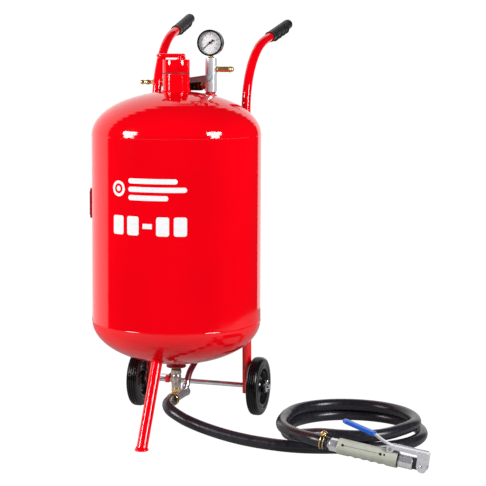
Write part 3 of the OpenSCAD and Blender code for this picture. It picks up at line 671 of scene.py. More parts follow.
# ---- trolley frame ----
def make_grip(side):
    """Rubber sleeve: a rolled mouth, a body with fine ribs, and finger ridges below."""
    mouth = GRIP_START
    end = GRIP_START + GRIP_LEN
    around = 48
    rings = [[(10.8 * math.cos(2 * math.pi * k / around), 10.8 * math.sin(2 * math.pi * k / around),
               mouth + 0.6) for k in range(around)]]
    steps = 150
    for i in range(steps + 1):
        s = mouth + (GRIP_LEN - 0.2) * i / steps
        base = GRIP_R + 0.8 * math.exp(-((s - mouth - 2.2) / 2.4) ** 2)
        left = end - s
        if left < GRIP_R:
            base = math.sqrt(max(0.04, GRIP_R ** 2 - (GRIP_R - left) ** 2))
        ring = []
        for k in range(around):
            a = 2 * math.pi * k / around
            under = max(0.0, math.sin(a)) ** 1.4
            ridge = 0.0
            for from_mouth in (33, 61, 89, 111):
                ridge += math.exp(-((s - mouth - from_mouth) / 3.4) ** 4)
            ribs = 0.18 * math.sin(s * 2.1) if mouth + 8 < s < end - 16 and under < 0.1 else 0
            r = base + 5.8 * under * ridge + ribs
            ring.append((r * math.cos(a), r * math.sin(a), s))
        rings.append(ring)
    name = SIDE_NAME[side]
    make(f"{name}_grip_sleeve", skin(rings), handle_end(side), ROOT, "grip_rubber",
         stands_for=(f"{name}_grip",))


def make_leg_details():
    foot = [(0, 0), (14.6, 0), (15, 0.5), (15, 2.6), (14.4, 3.6), (13.2, 4.2), (12.6, 6.2),
            (12.2, 7.6), (0, 7.6)]
    make("leg_foot_pressed", lathe(foot, 64), TANK @ shift(0, -226, 0), ROOT, "painted_red",
         stands_for=("leg_foot",))
    lean = math.radians(29.6)
    place = TANK @ shift(0, -226, 0) @ turn("X", -29.6)
    path = []
    for k in range(60):
        a = 2 * math.pi * k / 60
        x, y = 12.6 * math.cos(a), 12.6 * math.sin(a)
        low, high = 60.0, 260.0
        for _ in range(30):
            s = (low + high) / 2
            py = -226 + y * math.cos(lean) + s * math.sin(lean)
            pz = -y * math.sin(lean) + s * math.cos(lean)
            r = math.hypot(x, py)
            inside = r < TANK_R and pz > SEAM_LOW - head_height(r)
            low, high = (low, s) if inside else (s, high)
        path.append((x, y, low - 0.4))
    make("leg_bead", bead_along(path, 1.8, True, 11), place, ROOT, "painted_red")


def make_bracket_beads():
    """Two runs of weld on each tab between a handle tube and the tank."""
    beads = []
    half = TANK_R * math.radians(1.2)
    for angle, low in ((54.9, 285), (57, 615), (125.2, 285), (123.1, 615)):
        for edge in (-half - 0.6, half + 0.6):
            path = [(TANK_R + 0.6, edge, low + 26 * i / 14) for i in range(15)]
            beads.append(moved(turn("Z", angle), bead_along(path, 1.3, False, angle + edge)))
    make("bracket_beads", joined(*beads), TANK, ROOT, "painted_red")


def make_plate():
    """Four rivets that hold the blank plate."""
    rivets = []
    dome = [(0, 1.0), (0.8, 0.9), (1.5, 0.5), (1.9, 0), (0, 0)]
    for angle in (191, 199):
        for z in (487, 533):
            place = turn("Z", angle) @ shift(TANK_R + 4.6, 0, z) @ ALONG_X
            rivets.append(moved(place, lathe(dome, 20)))
    make("plate_rivets", joined(*rivets), TANK, ROOT, "plate_metal")


# ---- wheels ----
def make_tyre(side):
    """Moulded tyre: a bead and a raised line on each side, and four grooves round a rounded tread."""
    half, r, bead = 13.5, 68.0, 46.0
    wall = [(bead, 11.3), (bead + 1.6, 12.6), (bead + 4.0, 12.6), (bead + 5.0, 11.6),
            (bead + 6.0, 12.9), (bead + 7.4, 13.3), (bead + 8.6, 12.7), (bead + 11, 12.9)]
    tread = []
    for i in range(-42, 43):
        x = i * 0.3
        shoulder = 7.5 - 7.5 * math.sqrt(1 - (max(0.0, abs(x) - 6) / 7.3) ** 2)
        groove = sum(math.exp(-((x - c * 5.2) / 1.3) ** 4) for c in (-1.5, -0.5, 0.5, 1.5))
        tread.append((r - shoulder - 0.9 * (x / half) ** 2 - 2.6 * groove, x))
    outline = [(pr, -x) for pr, x in wall] + tread + [(pr, x) for pr, x in reversed(wall)]
    name = SIDE_NAME[side]
    place = wheel_place(side) @ shift(0, 0, 147.2)
    make(f"{name}_tyre_treaded", lathe(outline, 144), place, f"{name}_wheel",
         "tyre_rubber", stands_for=(f"{name}_tyre",), sharp=50)


def kidney(inner, outer, half_angle, steps=8):
    """An opening between two radii, with round ends."""
    r = (outer - inner) / 2
    mid = (outer + inner) / 2
    end = math.degrees(r / mid) if half_angle > math.degrees(r / mid) else half_angle
    span = half_angle - end
    points = [(outer * math.cos(a), outer * math.sin(a))
              for a in (math.radians(-span + 2 * span * i / steps) for i in range(steps + 1))]
    a = math.radians(span)
    cx, cy = mid * math.cos(a), mid * math.sin(a)
    points += arc(cx, cy, r, span, span + 180, 8)[1:-1]
    points += [(inner * math.cos(a), inner * math.sin(a))
               for a in (math.radians(span - 2 * span * i / steps) for i in range(steps + 1))]
    a = math.radians(-span)
    cx, cy = mid * math.cos(a), mid * math.sin(a)
    points += arc(cx, cy, r, -span + 180, -span + 360, 8)[1:-1]
    return points


def make_rim(side):
    """Moulded rim: flanged seat, dished web with five kidney openings, and a long hub."""
    low, high = 133.7, 160.7
    mid = (low + high) / 2
    name = SIDE_NAME[side]
    hub = [(9, 132.1), (13.4, 132.1), (14.6, 133.2), (15, 140), (17.5, mid - 4), (24, mid - 3),
           (34, mid - 2), (40, mid - 3.2), (41.5, low + 5), (42, low + 1.6), (44, low + 0.6),
           (46.6, low + 0.8), (47, low + 1.8), (46, low + 2.6), (46, high - 2.6),
           (47, high - 1.8), (46.6, high - 0.8), (44, high - 0.6), (42, high - 1.6),
           (41.5, high - 5), (40, mid + 5.2), (34, mid + 4), (24, mid + 5), (17.5, mid + 6),
           (15, mid + 9), (14.6, 163.4), (13.4, 164.7), (9, 164.7)]
    rim = make(f"{name}_rim_moulded", lathe(hub, 96), wheel_place(side), f"{name}_wheel",
               "rim_plastic", stands_for=(f"{name}_rim",))
    holes = [moved(turn("Z", 72 * i + 18), prism(kidney(20.5, 36.5, 25), mid - 14, mid + 14))
             for i in range(5)]
    cut_away(rim, joined(*holes), wheel_place(side))


def make_axle_end(side):
    """Split pin: a doubled wire through the axle with its legs bent apart and an eye above."""
    place = shift(0, middle("axle").y, middle("axle").z) @ MM @ shift(side * 170.4, 0, 0)
    eye = [(0, 1.5 * math.cos(t) * 2.2 - 0.0, 12.5 + 3.2 * math.sin(t))
           for t in (math.radians(-60 + 300 * i / 20) for i in range(21))]
    legs = []
    for s in (-1, 1):
        path = [(0, s * 0.75, 11), (0, s * 0.72, 4), (0, s * 0.72, -8), (0, s * 1.2, -9.6),
                (0, s * 3.4, -11.4), (0, s * 6.4, -12.4)]
        legs.append(wire(smooth_path(path, 4), 0.72, 10))
    eye_wire = wire(eye, 0.8, 10)
    make(f"{SIDE_NAME[side]}_split_pin_wire", joined(eye_wire, *legs), place, ROOT, "bright_steel",
         stands_for=("split_pins",) if side > 0 else ())


# ---- outlet and grit valve ----
def thread(r, low, high, pitch=1.8, depth=0.6):
    """The outline of a screw thread, drawn as rings."""
    outline = []
    z = low
    while z + pitch <= high + 1e-6:
        outline += [(r - depth, z + 0.1 * pitch), (r, z + 0.45 * pitch), (r, z + 0.6 * pitch),
                    (r - depth, z + 0.95 * pitch)]
        z += pitch
    return outline


def make_outlet():
    flange = [(9.6, 136), (21.6, 136), (22.5, 136.8), (22.5, 140.2), (21.6, 141),
              (20.4, 141.4), (20, 142.6), (20, 155.5), (9.6, 155.5)]
    # The flange and its weld bead take the darkened red: painted shade under the bottom head.
    make("outlet_flange_turned", lathe(flange, 80), TANK, ROOT, "dark_red_paint",
         stands_for=("outlet_flange",))
    z = SEAM_LOW - head_height(20) + 0.2
    make("outlet_bead", bead_along(ring_path(20.6, z, 70), 2.0, True, 5), TANK, ROOT,
         "dark_red_paint")
    nipple = [(6, 122.6), (9.4, 122.6)] + thread(9.4, 123, 136, 1.6, 0.5)
    nipple += [(9.4, 136.4), (9.4, 146), (6, 146)]
    make("outlet_nipple_threaded", lathe(nipple, 48), TANK, ROOT, "brass",
         stands_for=("outlet_nipple",))
    body = [(5.5, 88), (9.3, 88), (9.6, 95), (10.6, 96.6), (11, 98), (11.3, 99), (11.3, 116),
            (11, 117), (10.4, 118.6), (10.2, 120.8), (11.6, 121), (11.9, 128.8), (11.2, 129.5),
            (9.5, 129.5), (9.5, 122.6), (5.5, 122.6)]
    stem = [(3.05, 8), (6.2, 8), (6.2, 13), (5.4, 14), (3.05, 14)]
    hexes = [hexagon(21, 120.5, 129.2), hexagon(19, 87.5, 96.5)]
    make("grit_valve_casting",
         joined(lathe(body, 64), moved(shift(0, 0, 107.5) @ turn("Y", -90), lathe(stem, 32)), *hexes),
         TANK, ROOT, "nickelled_brass", stands_for=("grit_valve_body",), sharp=28)
    rings = [lathe([(9.6, 129.5), (10.8, 129.5), (10.8, 131.1), (9.6, 131.1)], 48)]
    make("outlet_seal_ring", joined(*rings), TANK, ROOT, "gasket_rubber")
    connector = [(5.5, 72.6), (7.9, 72.6)] + thread(7.9, 72.8, 78.4, 1.4, 0.4)
    connector += [(7.9, 78.4), (7.9, 93.4), (5.5, 93.4)]
    make("tee_connector_hexagon", joined(lathe(connector, 48), hexagon(19, 78.5, 87.5)), TANK, ROOT,
         "brass", stands_for=("tee_connector",), sharp=28)


def make_grit_lever():
    """Folded steel tongue with a lock plate, a nut on the stem, and its red sleeve."""
    place = TANK @ shift(0, 0, 107.5)
    tongue = rounded([(-5, -5), (45, -4.2), (45, 4.2), (-5, 5)], 2.5)
    to_side = Matrix(((0, 0, 1, 0), (1, 0, 0, 0), (0, 1, 0, 0), (0, 0, 0, 1)))
    blade = moved(to_side, prism(tongue, -17.2, -14.8))
    lug = moved(to_side, prism(rounded([(-5, 4), (5, 4), (5, 10.6), (-5, 10.6)], 1), -17.2, -14.8))
    tab = prism(rounded([(-37.2, -5), (-14.8, -5), (-14.8, 5), (-37.2, 5)], 3), 9, 10.6)
    make("grit_lever_tongue", joined(blade, lug, tab), place, "grit_lever", "bright_steel",
         stands_for=("grit_valve_lever",), bevel=0.3)
    nut = moved(turn("Y", -90), hexagon(8, 17.3, 20.4, 0.4))
    stud = moved(turn("Y", -90), lathe([(0, 16), (2.9, 16), (2.9, 22.6), (2.2, 23.4), (0, 23.4)], 24))
    make("grit_lever_nut", joined(nut, stud), place, "grit_lever", "bright_steel", sharp=28)
    rings = []
    for y, grow in ((-8, -1.6), (-7.4, -0.4), (-6, 0), (34, 0.1), (44, 0), (47.4, -0.8), (48.7, -2.2)):
        outline = rounded_box(10.4 + 2 * grow, 16.4 + 2 * grow, max(0.6, 2.8 + grow), 5)
        rings.append([(-19.6 + x, y, z) for x, z in outline])
    make("grit_lever_vinyl", skin(rings), place, "grit_lever", "red_vinyl",
         stands_for=("grit_lever_sleeve",))


def wire_clamp():
    """A spring clamp of two wire rings along X, with crossed ears and a screw above."""
    parts = []
    for x in (-3.4, 3.4):
        path = [(x, (HOSE_R + 0.9) * math.sin(math.radians(a)), (HOSE_R + 0.9) * math.cos(math.radians(a)))
                for a in range(8, 353, 6)]
        ear_start = [(x * 0.6, 5.5, HOSE_R + 7.5), (x * 0.9, 3.6, HOSE_R + 3.4)]
        ear_end = [(x * 0.9, -3.6, HOSE_R + 3.4), (x * 0.6, -5.5, HOSE_R + 7.5)]
        parts.append(wire(smooth_path(ear_start + path + ear_end, 2), 1.05, 10))
    for s in (-1, 1):
        loop = [(4.6 * math.cos(math.radians(a)), s * 5.6, HOSE_R + 6.4 + 2.6 * math.sin(math.radians(a)))
                for a in range(0, 360, 20)]
        parts.append(wire(loop, 1.0, 10, loop=True))
    screw = lathe([(0, -9.5), (1.6, -9.5), (1.6, 7), (3.4, 7), (3.4, 9.6), (2.6, 10.4), (0, 10.4)], 20)
    parts.append(moved(shift(0, 0, HOSE_R + 5.4) @ ALONG_Y, screw))
    parts.append(moved(shift(0, 0, HOSE_R + 5.4) @ ALONG_Y, hexagon(5.5, -8.8, -6.2, 0.4)))
    return joined(*parts)


def make_tee():
    """Cast bands on the tee's ends, the ferrule on the air hose, and the hose clamp."""
    bands = []
    for low, high in ((-9.6, -6.2), (46.4, 50)):
        band = [(10.2, low), (11.1, low), (11.4, low + 0.8), (11.4, high - 0.8), (11.1, high),
                (10.2, high)]
        bands.append(moved(ALONG_Y, lathe(band, 48)))
    make("tee_bands", joined(*bands), TEE, ROOT, "zinc_casting")
    ferrule = [(7.05, 12.1), (8.0, 12.1), (8.4, 12.8)]
    for z in (15.5, 19.5, 23.5):
        ferrule += [(8.4, z - 1.2), (7.9, z - 0.5), (7.9, z + 0.5), (8.4, z + 1.2)]
    ferrule += [(8.4, 26.4), (8.0, 27), (7.05, 27)]
    make("air_hose_ferrule", lathe(ferrule, 40), PORT, ROOT, "bright_steel")
    make("tank_clamp_wires", wire_clamp(), TEE @ shift(0, -17, 0) @ turn("Z", 90) @ turn("X", -123),
         ROOT, "brass", stands_for=("tank_hose_clamp",))


# ---- air line on top ----
def make_manifold():
    body = [(5, 758.5), (12.6, 758.5), (13.5, 759.5), (13.5, 833), (12.6, 834), (5, 834)]
    # The manifold's chrome is partly a light grey diffuse: painted reflection.
    make("manifold_turned", lathe(body, 72), MANIFOLD, ROOT, "chromed_steel",
         stands_for=("air_manifold",))
    nipple = [(5, 737.6), (10.6, 737.6), (10.6, 742)] + thread(10.6, 742, 754, 2.0, 0.8)
    nipple += [(10, 754.5), (8, 755), (8, 765), (5, 765)]
    make("manifold_nipple_threaded", joined(lathe(nipple, 48), hexagon(20, 754.4, 758.4)), MANIFOLD,
         ROOT, "bright_steel", stands_for=("manifold_nipple",), sharp=28)
    boss_z = SEAM_HIGH + head_height(80)
    bead = bead_along(ring_path(11.8, boss_z + 0.6, 48), 2.0, True, 21)
    tilt = shift(0, 0, boss_z) @ turn("Z", 34) @ turn("Y", 14) @ shift(0, 0, -boss_z)
    make("manifold_bead", moved(tilt, bead), MANIFOLD, ROOT, "painted_red")


def make_gauge():
    """Bezel and case, dial marks, and the brass stem under it."""
    front, back, r = -12.0, 9.0, 29.5
    case = [(r - 2.6, front + 0.75), (r - 4.1, front + 0.7), (r - 3.9, front + 0.1), (r - 3.6, front),
            (r - 0.5, front), (r, front + 0.5), (r, front + 5), (r - 1.0, front + 5.6),
            (r - 1.0, back - 2), (r - 2.4, back), (r - 2.6, back - 2)]
    shell = lathe(case, 96)
    disc = lathe([(0, back - 2), (r - 2.5, back - 2), (r - 2.4, back), (0, back)], 96)
    make("gauge_case_pressed", joined(moved(ALONG_Y, shell), moved(ALONG_Y, disc)), GAUGE, ROOT,
         "black_plastic", stands_for=("gauge_case",))
    marks, small = [], front + 5.86
    for i in range(41):
        angle = 225 - 270 * i / 40
        long = i % 5 == 0
        length, width = (4.6, 0.8) if long else (2.6, 0.45)
        outline = [(22.6 - length, -width / 2), (22.6, -width / 2), (22.6, width / 2),
                   (22.6 - length, width / 2)]
        marks.append(moved(turn("Y", -angle) @ turn("X", 90), prism(outline, -small - 0.14, -small)))
        if long:
            dot = prism(arc(15.2, 0, 0.95, 0, 340, 12), -small - 0.14, -small)
            marks.append(moved(turn("Y", -angle) @ turn("X", 90), dot))
    make("dial_marks", joined(*marks), GAUGE, ROOT, "dial_white", look="ink")
    arc_band = []
    for r_out, r_in in ((25.2, 23.6), (19.2, 18.5)):
        outline = arc(0, 0, r_out, -45, 225, 60) + arc(0, 0, r_in, 225, -45, 60)
        count = 61
        points, faces = [], []
        for z in (-small - 0.1, -small):
            points += [Vector((x, y, z)) for x, y in outline]
        total = 2 * count
        for k in range(count - 1):
            faces.append([k, k + 1, total - 2 - k, total - 1 - k])
            faces.append([total + k, 2 * total - 1 - k, 2 * total - 2 - k, total + k + 1])
        faces += [[k, (k + 1) % total, total + (k + 1) % total, total + k] for k in range(total)]
        arc_band.append(moved(turn("X", 90), (points, faces)))
    make("dial_bands", joined(*arc_band), GAUGE, ROOT, "dial_white", look="band")
    hand = arc(-8, 0, 2.6, 25, 335, 14) + [(0, -0.9), (23, -0.35), (23, 0.35), (0, 0.9)]
    hand_shape = joined(moved(turn("X", 90), prism(hand, 6.6, 7.6)),
                        moved(turn("X", 90), prism(arc(0, 0, 3, 0, 345, 24), 6.2, 8.4)))
    make("gauge_hand", moved(turn("Y", -218), hand_shape), GAUGE, "needle", "black_plastic",
         stands_for=("gauge_needle",))
    stem = [(1.5, -42), (4.9, -42)] + thread(4.9, -42, -34.2, 1.2, 0.4) + [(4.9, -34), (4.9, -22),
                                                                          (1.5, -22)]
    make("gauge_stem_hexagon", joined(lathe(stem, 40), hexagon(12.2, -34, -30.9, 0.4)), GAUGE, ROOT,
         "brass", stands_for=("gauge_stem",), sharp=28)


def make_relief():
    """Pop safety valve with a slotted barrel, and its bead-ended pull."""
    place = MANIFOLD @ shift(0, 0, 809) @ ALONG_X
    body = [(2.05, 8), (3.9, 8), (3.9, 13.9), (6.9, 14), (6.9, 16.4), (5.4, 17), (5.4, 18),
            (6.4, 18.6), (6.4, 39.4), (5.9, 41), (2.05, 41)]
    make("safety_valve_turned", joined(lathe(body, 48), hexagon(12.4, 14, 17.4, 0.4)), place, ROOT,
         "brass", stands_for=("safety_valve_body",), sharp=28)
    pull = [(0, 16), (1.9, 16), (1.9, 41.6), (6.2, 41.6), (6.8, 42.3), (6.8, 46.6), (5.7, 47.6),
            (5.4, 48.2)]
    pull += [(5.9 * math.cos(math.radians(a)), 49 + 4.7 * math.sin(math.radians(a)))
             for a in range(0, 90, 10)] + [(0, 53.7)]
    make("safety_valve_bead", lathe(pull, 40), place, "relief_pull", "brass",
         stands_for=("safety_valve_pull",))


def make_air_line():
    """Black coupling with its red ring, the brass nipple, and the ball valve."""
    coupling = [(6.6, 28), (11.6, 28), (12.6, 28.8), (13, 30), (13, 33.2), (12.1, 34), (12.1, 36.5),
                (13, 37.3), (13, 46), (12.1, 46.8), (12.1, 49), (13, 49.8), (13, 53.6), (12, 55),
                (6.6, 55)]
    branch = [(7.05, 6), (9.5, 6), (9.5, 17.6), (8.8, 19), (7.05, 19)]
    make("air_tee_moulded",
         joined(moved(ALONG_X, lathe(coupling, 56)),
                moved(shift(42, 0, 0) @ turn("X", 90), lathe(branch, 40))),
         LINE, ROOT, "black_plastic", stands_for=("air_tee",))
    ring = [(10.6, 27.4), (11.6, 25), (12.2, 24.6), (12.6, 25.2), (12.6, 27.4), (12, 28)]
    make("coupling_red_ring", moved(ALONG_X, lathe(ring, 48)), LINE, ROOT, "air_hose_rubber")
    nipple = [(4, 12.6), (6.4, 12.6), (6.4, 30), (4, 30)]
    make("line_nipple_hexagon",
         moved(ALONG_X, joined(lathe(nipple, 36), hexagon(17, 15, 24.8, 0.6))), LINE, ROOT, "brass",
         stands_for=("line_nipple",), sharp=28)
    body = [(4.5, 48), (6.4, 48), (6.4, 55.4), (10, 56), (10, 66), (11.2, 66.4), (12, 68),
            (12, 90), (11.2, 91.6), (10, 92), (10, 102.6), (4.5, 102.6)]
    hexes = [hexagon(22, 55.4, 66, 0.7), hexagon(22, 92, 102.8, 0.7)]
    stem = [(3.05, 9), (6.5, 9), (6.5, 13.4), (5.6, 14.6), (3.05, 14.6)]
    make("air_valve_casting",
         joined(moved(ALONG_X, joined(lathe(body, 56), *hexes)),
                moved(shift(79, 0, 0) @ ALONG_Y, lathe(stem, 32))),
         LINE, ROOT, "nickelled_brass", stands_for=("air_valve_body",), sharp=28)


def make_air_lever():
    """Die-cast bar with raised edges, round at its tip, on the valve's stem."""
    place = LINE @ shift(79, 15, 0)
    outline = arc(0, 6, 6.6, -90, 90, 8)
    outline = [(x * 1.15, y) for x, y in outline] + arc(-86, 6, 6.5, 90, 270, 12)
    to_plane = turn("Y", 7.5) @ turn("X", 90)
    plate = moved(to_plane, prism(outline, -3.6, 0))
    edge = []
    for z in (11.3, 0.7):
        path = [(-86 + i * 10, 3.9, z) for i in range(9)] + [(-1, 3.9, z)]
        edge.append(moved(turn("Y", 7.5), wire(path, 1.15, 8)))
    tip = [(-86 - 5.3 * math.sin(math.radians(a)), 3.9, 6 + 5.3 * math.cos(math.radians(a)))
           for a in range(0, 181, 12)]
    edge.append(moved(turn("Y", 7.5), wire(tip, 1.15, 8)))
    boss = moved(ALONG_Y, lathe([(3.05, 0), (7.6, 0), (8, 0.6), (8, 4.2), (7.4, 4.8), (3.05, 4.8)], 36))
    # The lever takes a lighter, tinted copy of the zinc casting: painted light for its shaded place behind
    # the neck.
    make("air_lever_casting", joined(plate, boss, *edge), place, "air_lever", "zinc_casting",
         look="lever_alloy", stands_for=("air_valve_lever",), sharp=40)
    nut = moved(ALONG_Y, joined(hexagon(8, 4.9, 6.0, 0.3),
                                lathe([(0, 4), (2.9, 4), (2.9, 6.2), (0, 6.4)], 20)))
    make("air_lever_nut", nut, place, "air_lever", "bright_steel", sharp=28)


def make_inlet():
    """Elbow behind the neck, hose ferrule, hexagon adaptor and quick-connect plug."""
    elbow_path = [(96, 0, 0), (106, 0, 0), (112, 0, 0), (116, -1.4, 0), (118, -5, 0), (118, -12, 0),
                  (118, -20, 0)]
    elbow = wire(smooth_path(elbow_path, 4), 8.3, 28)
    collar = moved(ALONG_X, lathe([(5, 101), (9.4, 101), (9.8, 102), (9.8, 108), (9, 109), (5, 109)], 40))
    make("inlet_elbow", joined(elbow, collar), LINE, ROOT, "brass")
    fitting = [(3.5, -12), (7.9, -12), (7.9, -4), (8.4, -4), (8.4, 8), (8.5, 23), (7.2, 24), (3.5, 24)]
    make("inlet_adaptor",
         moved(ALONG_X, joined(lathe(fitting, 40), hexagon(21, -4, 8, 0.8))), INLET, ROOT, "brass",
         sharp=28)
    plug = [(0, -5.4), (5.4, -5.4), (5.5, -12), (6.6, -12), (7, -12.8), (7, -14.4), (6.5, -15),
            (6.5, -15.8), (7, -16.4), (7, -21.2), (6.4, -22), (4.5, -24.2), (4.5, -28.8), (5.6, -31),
            (6, -31.6), (6, -37.4), (5.6, -38), (4.4, -40), (4.3, -44.6), (5.4, -46.4), (5.6, -47),
            (5.6, -50.8), (4.8, -52), (3, -52), (3, -14), (0, -14)]
    make("inlet_plug_turned", moved(ALONG_X, lathe(plug, 44)), INLET, ROOT, "brass",
         stands_for=("inlet_plug",))


# ---- gun ----
def make_gun_inlet():
    hexes = moved(ALONG_X, hexagon(24, -17.6, -0.3, 1.2))
    barb = [(4.5, -42), (5.4, -42)]
    for z in (-38, -33, -28):
        barb += [(6.4, z), (5.6, z + 0.3)]
    barb += [(5.6, -24), (9.6, -22), (9.9, -18), (9.9, -10), (4.5, -10)]
    make("gun_inlet_hexagon", joined(hexes, moved(ALONG_X, lathe(barb, 40))), GUN, ROOT,
         "turned_aluminium", stands_for=("gun_inlet",), sharp=28)
    make("gun_clamp_wires", wire_clamp(), GUN @ shift(-34, 0, 0), ROOT, "brass")


def make_gun_body():
    """Cast grip: flat-sided, with finger waves below, screw holes and a moulded panel line."""
    length, around = 127.0, 72
    stations = [0.0, 0.5, 1.4, 2.6] + [2.6 + (length - 4.2) * i / 90 for i in range(1, 91)]
    stations += [length - 0.8, length - 0.3, length]
    rings = []
    for x in stations:
        edge = min(x, length - x)
        shrink = 1.5 * max(0.0, 1 - edge / 2.2) ** 2
        ring = []
        for k in range(around):
            a = 2 * math.pi * k / around
            low = max(0.0, -math.sin(a)) ** 3
            wave = 0.9 * low * (1 - math.cos(2 * math.pi * (x - 22) / 17)) if 22 < x < 107 else 0
            square = 0.35 * math.cos(4 * (a - math.pi / 4)) * -1
            r = min(17.0, 16.6 + square) - shrink - wave
            ring.append((x, r * math.cos(a), r * math.sin(a)))
        rings.append(ring)
    body = make("gun_body_casting", skin(rings), GUN, ROOT, "cast_body_paint",
                stands_for=("gun_body",), sharp=40)
    cuts = [moved(ALONG_X, lathe([(0, -5), (10.6, -5), (10.6, 133), (0, 133)], 40))]
    for x in (12, 92, 100):
        r = 3.1 if x != 100 else 2.3
        hole = lathe([(0, 12.6), (r, 12.6), (r, 30), (0, 30)], 24)
        cuts.append(moved(shift(x, 0, 7.5) @ turn("X", 90), hole))
    for lean in (-62, 62):
        line = prism(rounded_box(78, 1.6, 0.75, 3), 14.6, 22)
        cuts.append(moved(shift(54, 0, 0) @ turn("X", lean), line))
    cuts.append(prism([(-2, -0.3), (130, -0.3), (130, 0.3), (-2, 0.3)], -20, -15.6))
    cuts.append(prism([(98, -6), (121, -6), (121, 6), (98, 6)], 14.6, 30))
    cut_away(body, joined(*cuts[:1]), GUN)
    for cut in cuts[1:]:
        cut_away(body, cut, GUN)
    screws = []
    for x, r in ((12, 2.7), (92, 2.7), (100, 1.9)):
        head = lathe([(0, 11.2), (r, 11.2), (r, 13.0), (r * 0.8, 13.6), (r * 0.45, 13.4), (0, 12.6)], 20)
        screws.append(moved(shift(x, 0, 7.5) @ turn("X", 90), head))
    make("gun_screws", joined(*screws), GUN, ROOT, "black_plastic")
    lug = [(-8, -11), (8, -11), (6, -2), (5.6, 2.4)] + arc(0, 1.2, 5.2, 10, 170, 8) + [(-5.6, 2.4), (-6, -2)]
    lug_shape = moved(shift(109, 5, 21) @ turn("X", 90), prism(lug, 0, 10))
    make("gun_lug", lug_shape, GUN, ROOT, "cast_body_paint", bevel=0.4)


def make_nozzle():
    holder = [(3.3, 158), (12.6, 158), (13.5, 157), (13.5, 130.2), (12.9, 129.4), (12.9, 128.4),
              (9.9, 128), (9.9, 118), (6.8, 118), (6.8, 150), (3.3, 150)]
    make("nozzle_holder_turned", moved(ALONG_X, lathe(holder, 64)), GUN, ROOT, "turned_aluminium",
         stands_for=("gun_nozzle",))
    collar = [(10.2, 125.4), (16.2, 126.8), (16.2, 127.4), (10.2, 127.8)]
    make("gun_front_ring", moved(ALONG_X, lathe(collar, 56)), GUN, ROOT, "black_plastic")


def side_slab(outline, low, high):
    """An outline in X and Z, given thickness along Y."""
    return moved(shift(0, high, 0) @ turn("X", 90), prism(outline, 0, high - low))


def make_gun_lever():
    """Pressed lever: round pivot lobes, cheeks beside the nozzle, nose, bridge and tail."""
    lobe = arc(0, -0.6, 7.4, 150, 345, 14)
    cheek = lobe + [(9.5, 0.6), (56.5, 0.2)]
    cheek += rounded([(57.5, 0.0), (57.8, -26), (64, -34), (75, -34), (79.2, -27), (79.2, 8)], 5, 5)[5:]
    cheek += [(76, 8.6), (40, 8.2), (2, 8.2), (-6.6, 5.2)]
    parts = [side_slab(cheek, low, low + 1.6) for low in (-10.9, 9.3)]
    top = [(-7, 6.0), (2, 7.0), (40, 7.0), (76, 7.2), (79.2, 5.8), (79.2, -20), (77.7, -20),
           (77.7, 4.8), (75, 5.6), (40, 5.4), (2, 5.4), (-7, 4.4)]
    parts.append(side_slab(top, -10.4, 10.4))
    make("gun_lever_pressed", joined(*parts), PIVOT, "gun_trigger", "bright_steel",
         look="turned_aluminium", stands_for=("gun_lever",), bevel=0.35)
    tail_line = [(4, 6.6), (-4, 7.0), (-20, 12.6), (-38, 21.2), (-60, 26.2), (-102, 34.0)]
    rings = [[(p.x, dy, p.z + dz) for dy, dz in rounded_box(15.6, 2.2, 0.9, 3)]
             for p in smooth_path([(x, 0, z) for x, z in tail_line], 5)]
    make("gun_lever_tail", skin(rings), PIVOT, "gun_trigger", "bright_steel", look="turned_aluminium")
    pin = lathe([(0, -12.3), (3.6, -12.3), (3.8, -11.7), (3.8, -11.0), (2.4, -11.0), (2.4, 11.0),
                 (3.8, 11.0), (3.8, 11.7), (3.6, 12.3), (0, 12.3)], 28)
    make("gun_lever_pin", moved(ALONG_Y, pin), PIVOT, "gun_trigger", "zinc_casting")
    rivets = []
    for s in (-1, 1):
        dome = lathe([(0, 12.0), (1.6, 11.9), (2.7, 11.3), (3.0, 10.7), (0, 10.7)], 24)
        rivets.append(moved(shift(68, 0, -22) @ turn("X", -90 * s), dome))
    make("gun_nose_rivets", joined(*rivets), PIVOT, "gun_trigger", "bright_steel")
    pad = moved(shift(172.5, 0, 1) @ ALONG_X, prism(rounded_box(21, 18.2, 2.5, 4), -14, 7))
    make("nozzle_pad", pad, GUN, "gun_trigger", "gasket_rubber", stands_for=("nozzle_seal",),
         bevel=0.5)


def make_lever_sleeve():
    """Dipped vinyl sleeve: soft-edged, with a thick mouth and a round far end."""
    place = PIVOT @ shift(-38, 0, 20.4) @ turn("Y", 11)
    rings = []
    for x, width, height, r in (
            (2.0, 17.8, 4.6, 2.0), (1.2, 20.2, 7.0, 3.0), (-3, 21, 7.8, 3.4), (-5, 20.4, 7.2, 3.2),
            (-30, 20.4, 7.2, 3.2), (-60, 20.2, 7.1, 3.2), (-64.5, 19.0, 6.9, 3.2),
            (-67.5, 16.0, 6.2, 2.9), (-69.2, 11.5, 4.8, 2.3), (-69.9, 6.0, 2.8, 1.3)):
        rings.append([(x, y, 0.9 + z) for y, z in rounded_box(width, height, r, 5)])
    make("lever_vinyl", skin(rings), place, "gun_trigger", "blue_vinyl",
         stands_for=("lever_sleeve",), sharp=60)


def make_trigger_spring():
    """Torsion spring round the pivot that holds the lever's pad on the nozzle."""
    coil = [(4.6 * math.cos(math.radians(a)), -9.0 + 3.2 * a / 1080, 4.6 * math.sin(math.radians(a)))
            for a in range(0, 1081, 20)]
    coil = [(-12.6, -9.2, -0.5)] + coil
    make("trigger_spring", wire(coil, 0.55, 8), PIVOT, ROOT, "bright_steel")


make_welds()
make_graphics()
make_filler()
for wheel_side in (-1, 1):
    make_grip(wheel_side)
    make_tyre(wheel_side)
    make_rim(wheel_side)
    make_axle_end(wheel_side)
make_leg_details()
make_bracket_beads()
make_plate()
make_outlet()
make_grit_lever()
make_tee()
make_manifold()
make_gauge()
make_relief()
make_air_line()
make_air_lever()
make_inlet()
make_gun_inlet()
make_gun_body()
make_nozzle()
make_gun_lever()
make_lever_sleeve()
make_trigger_spring()


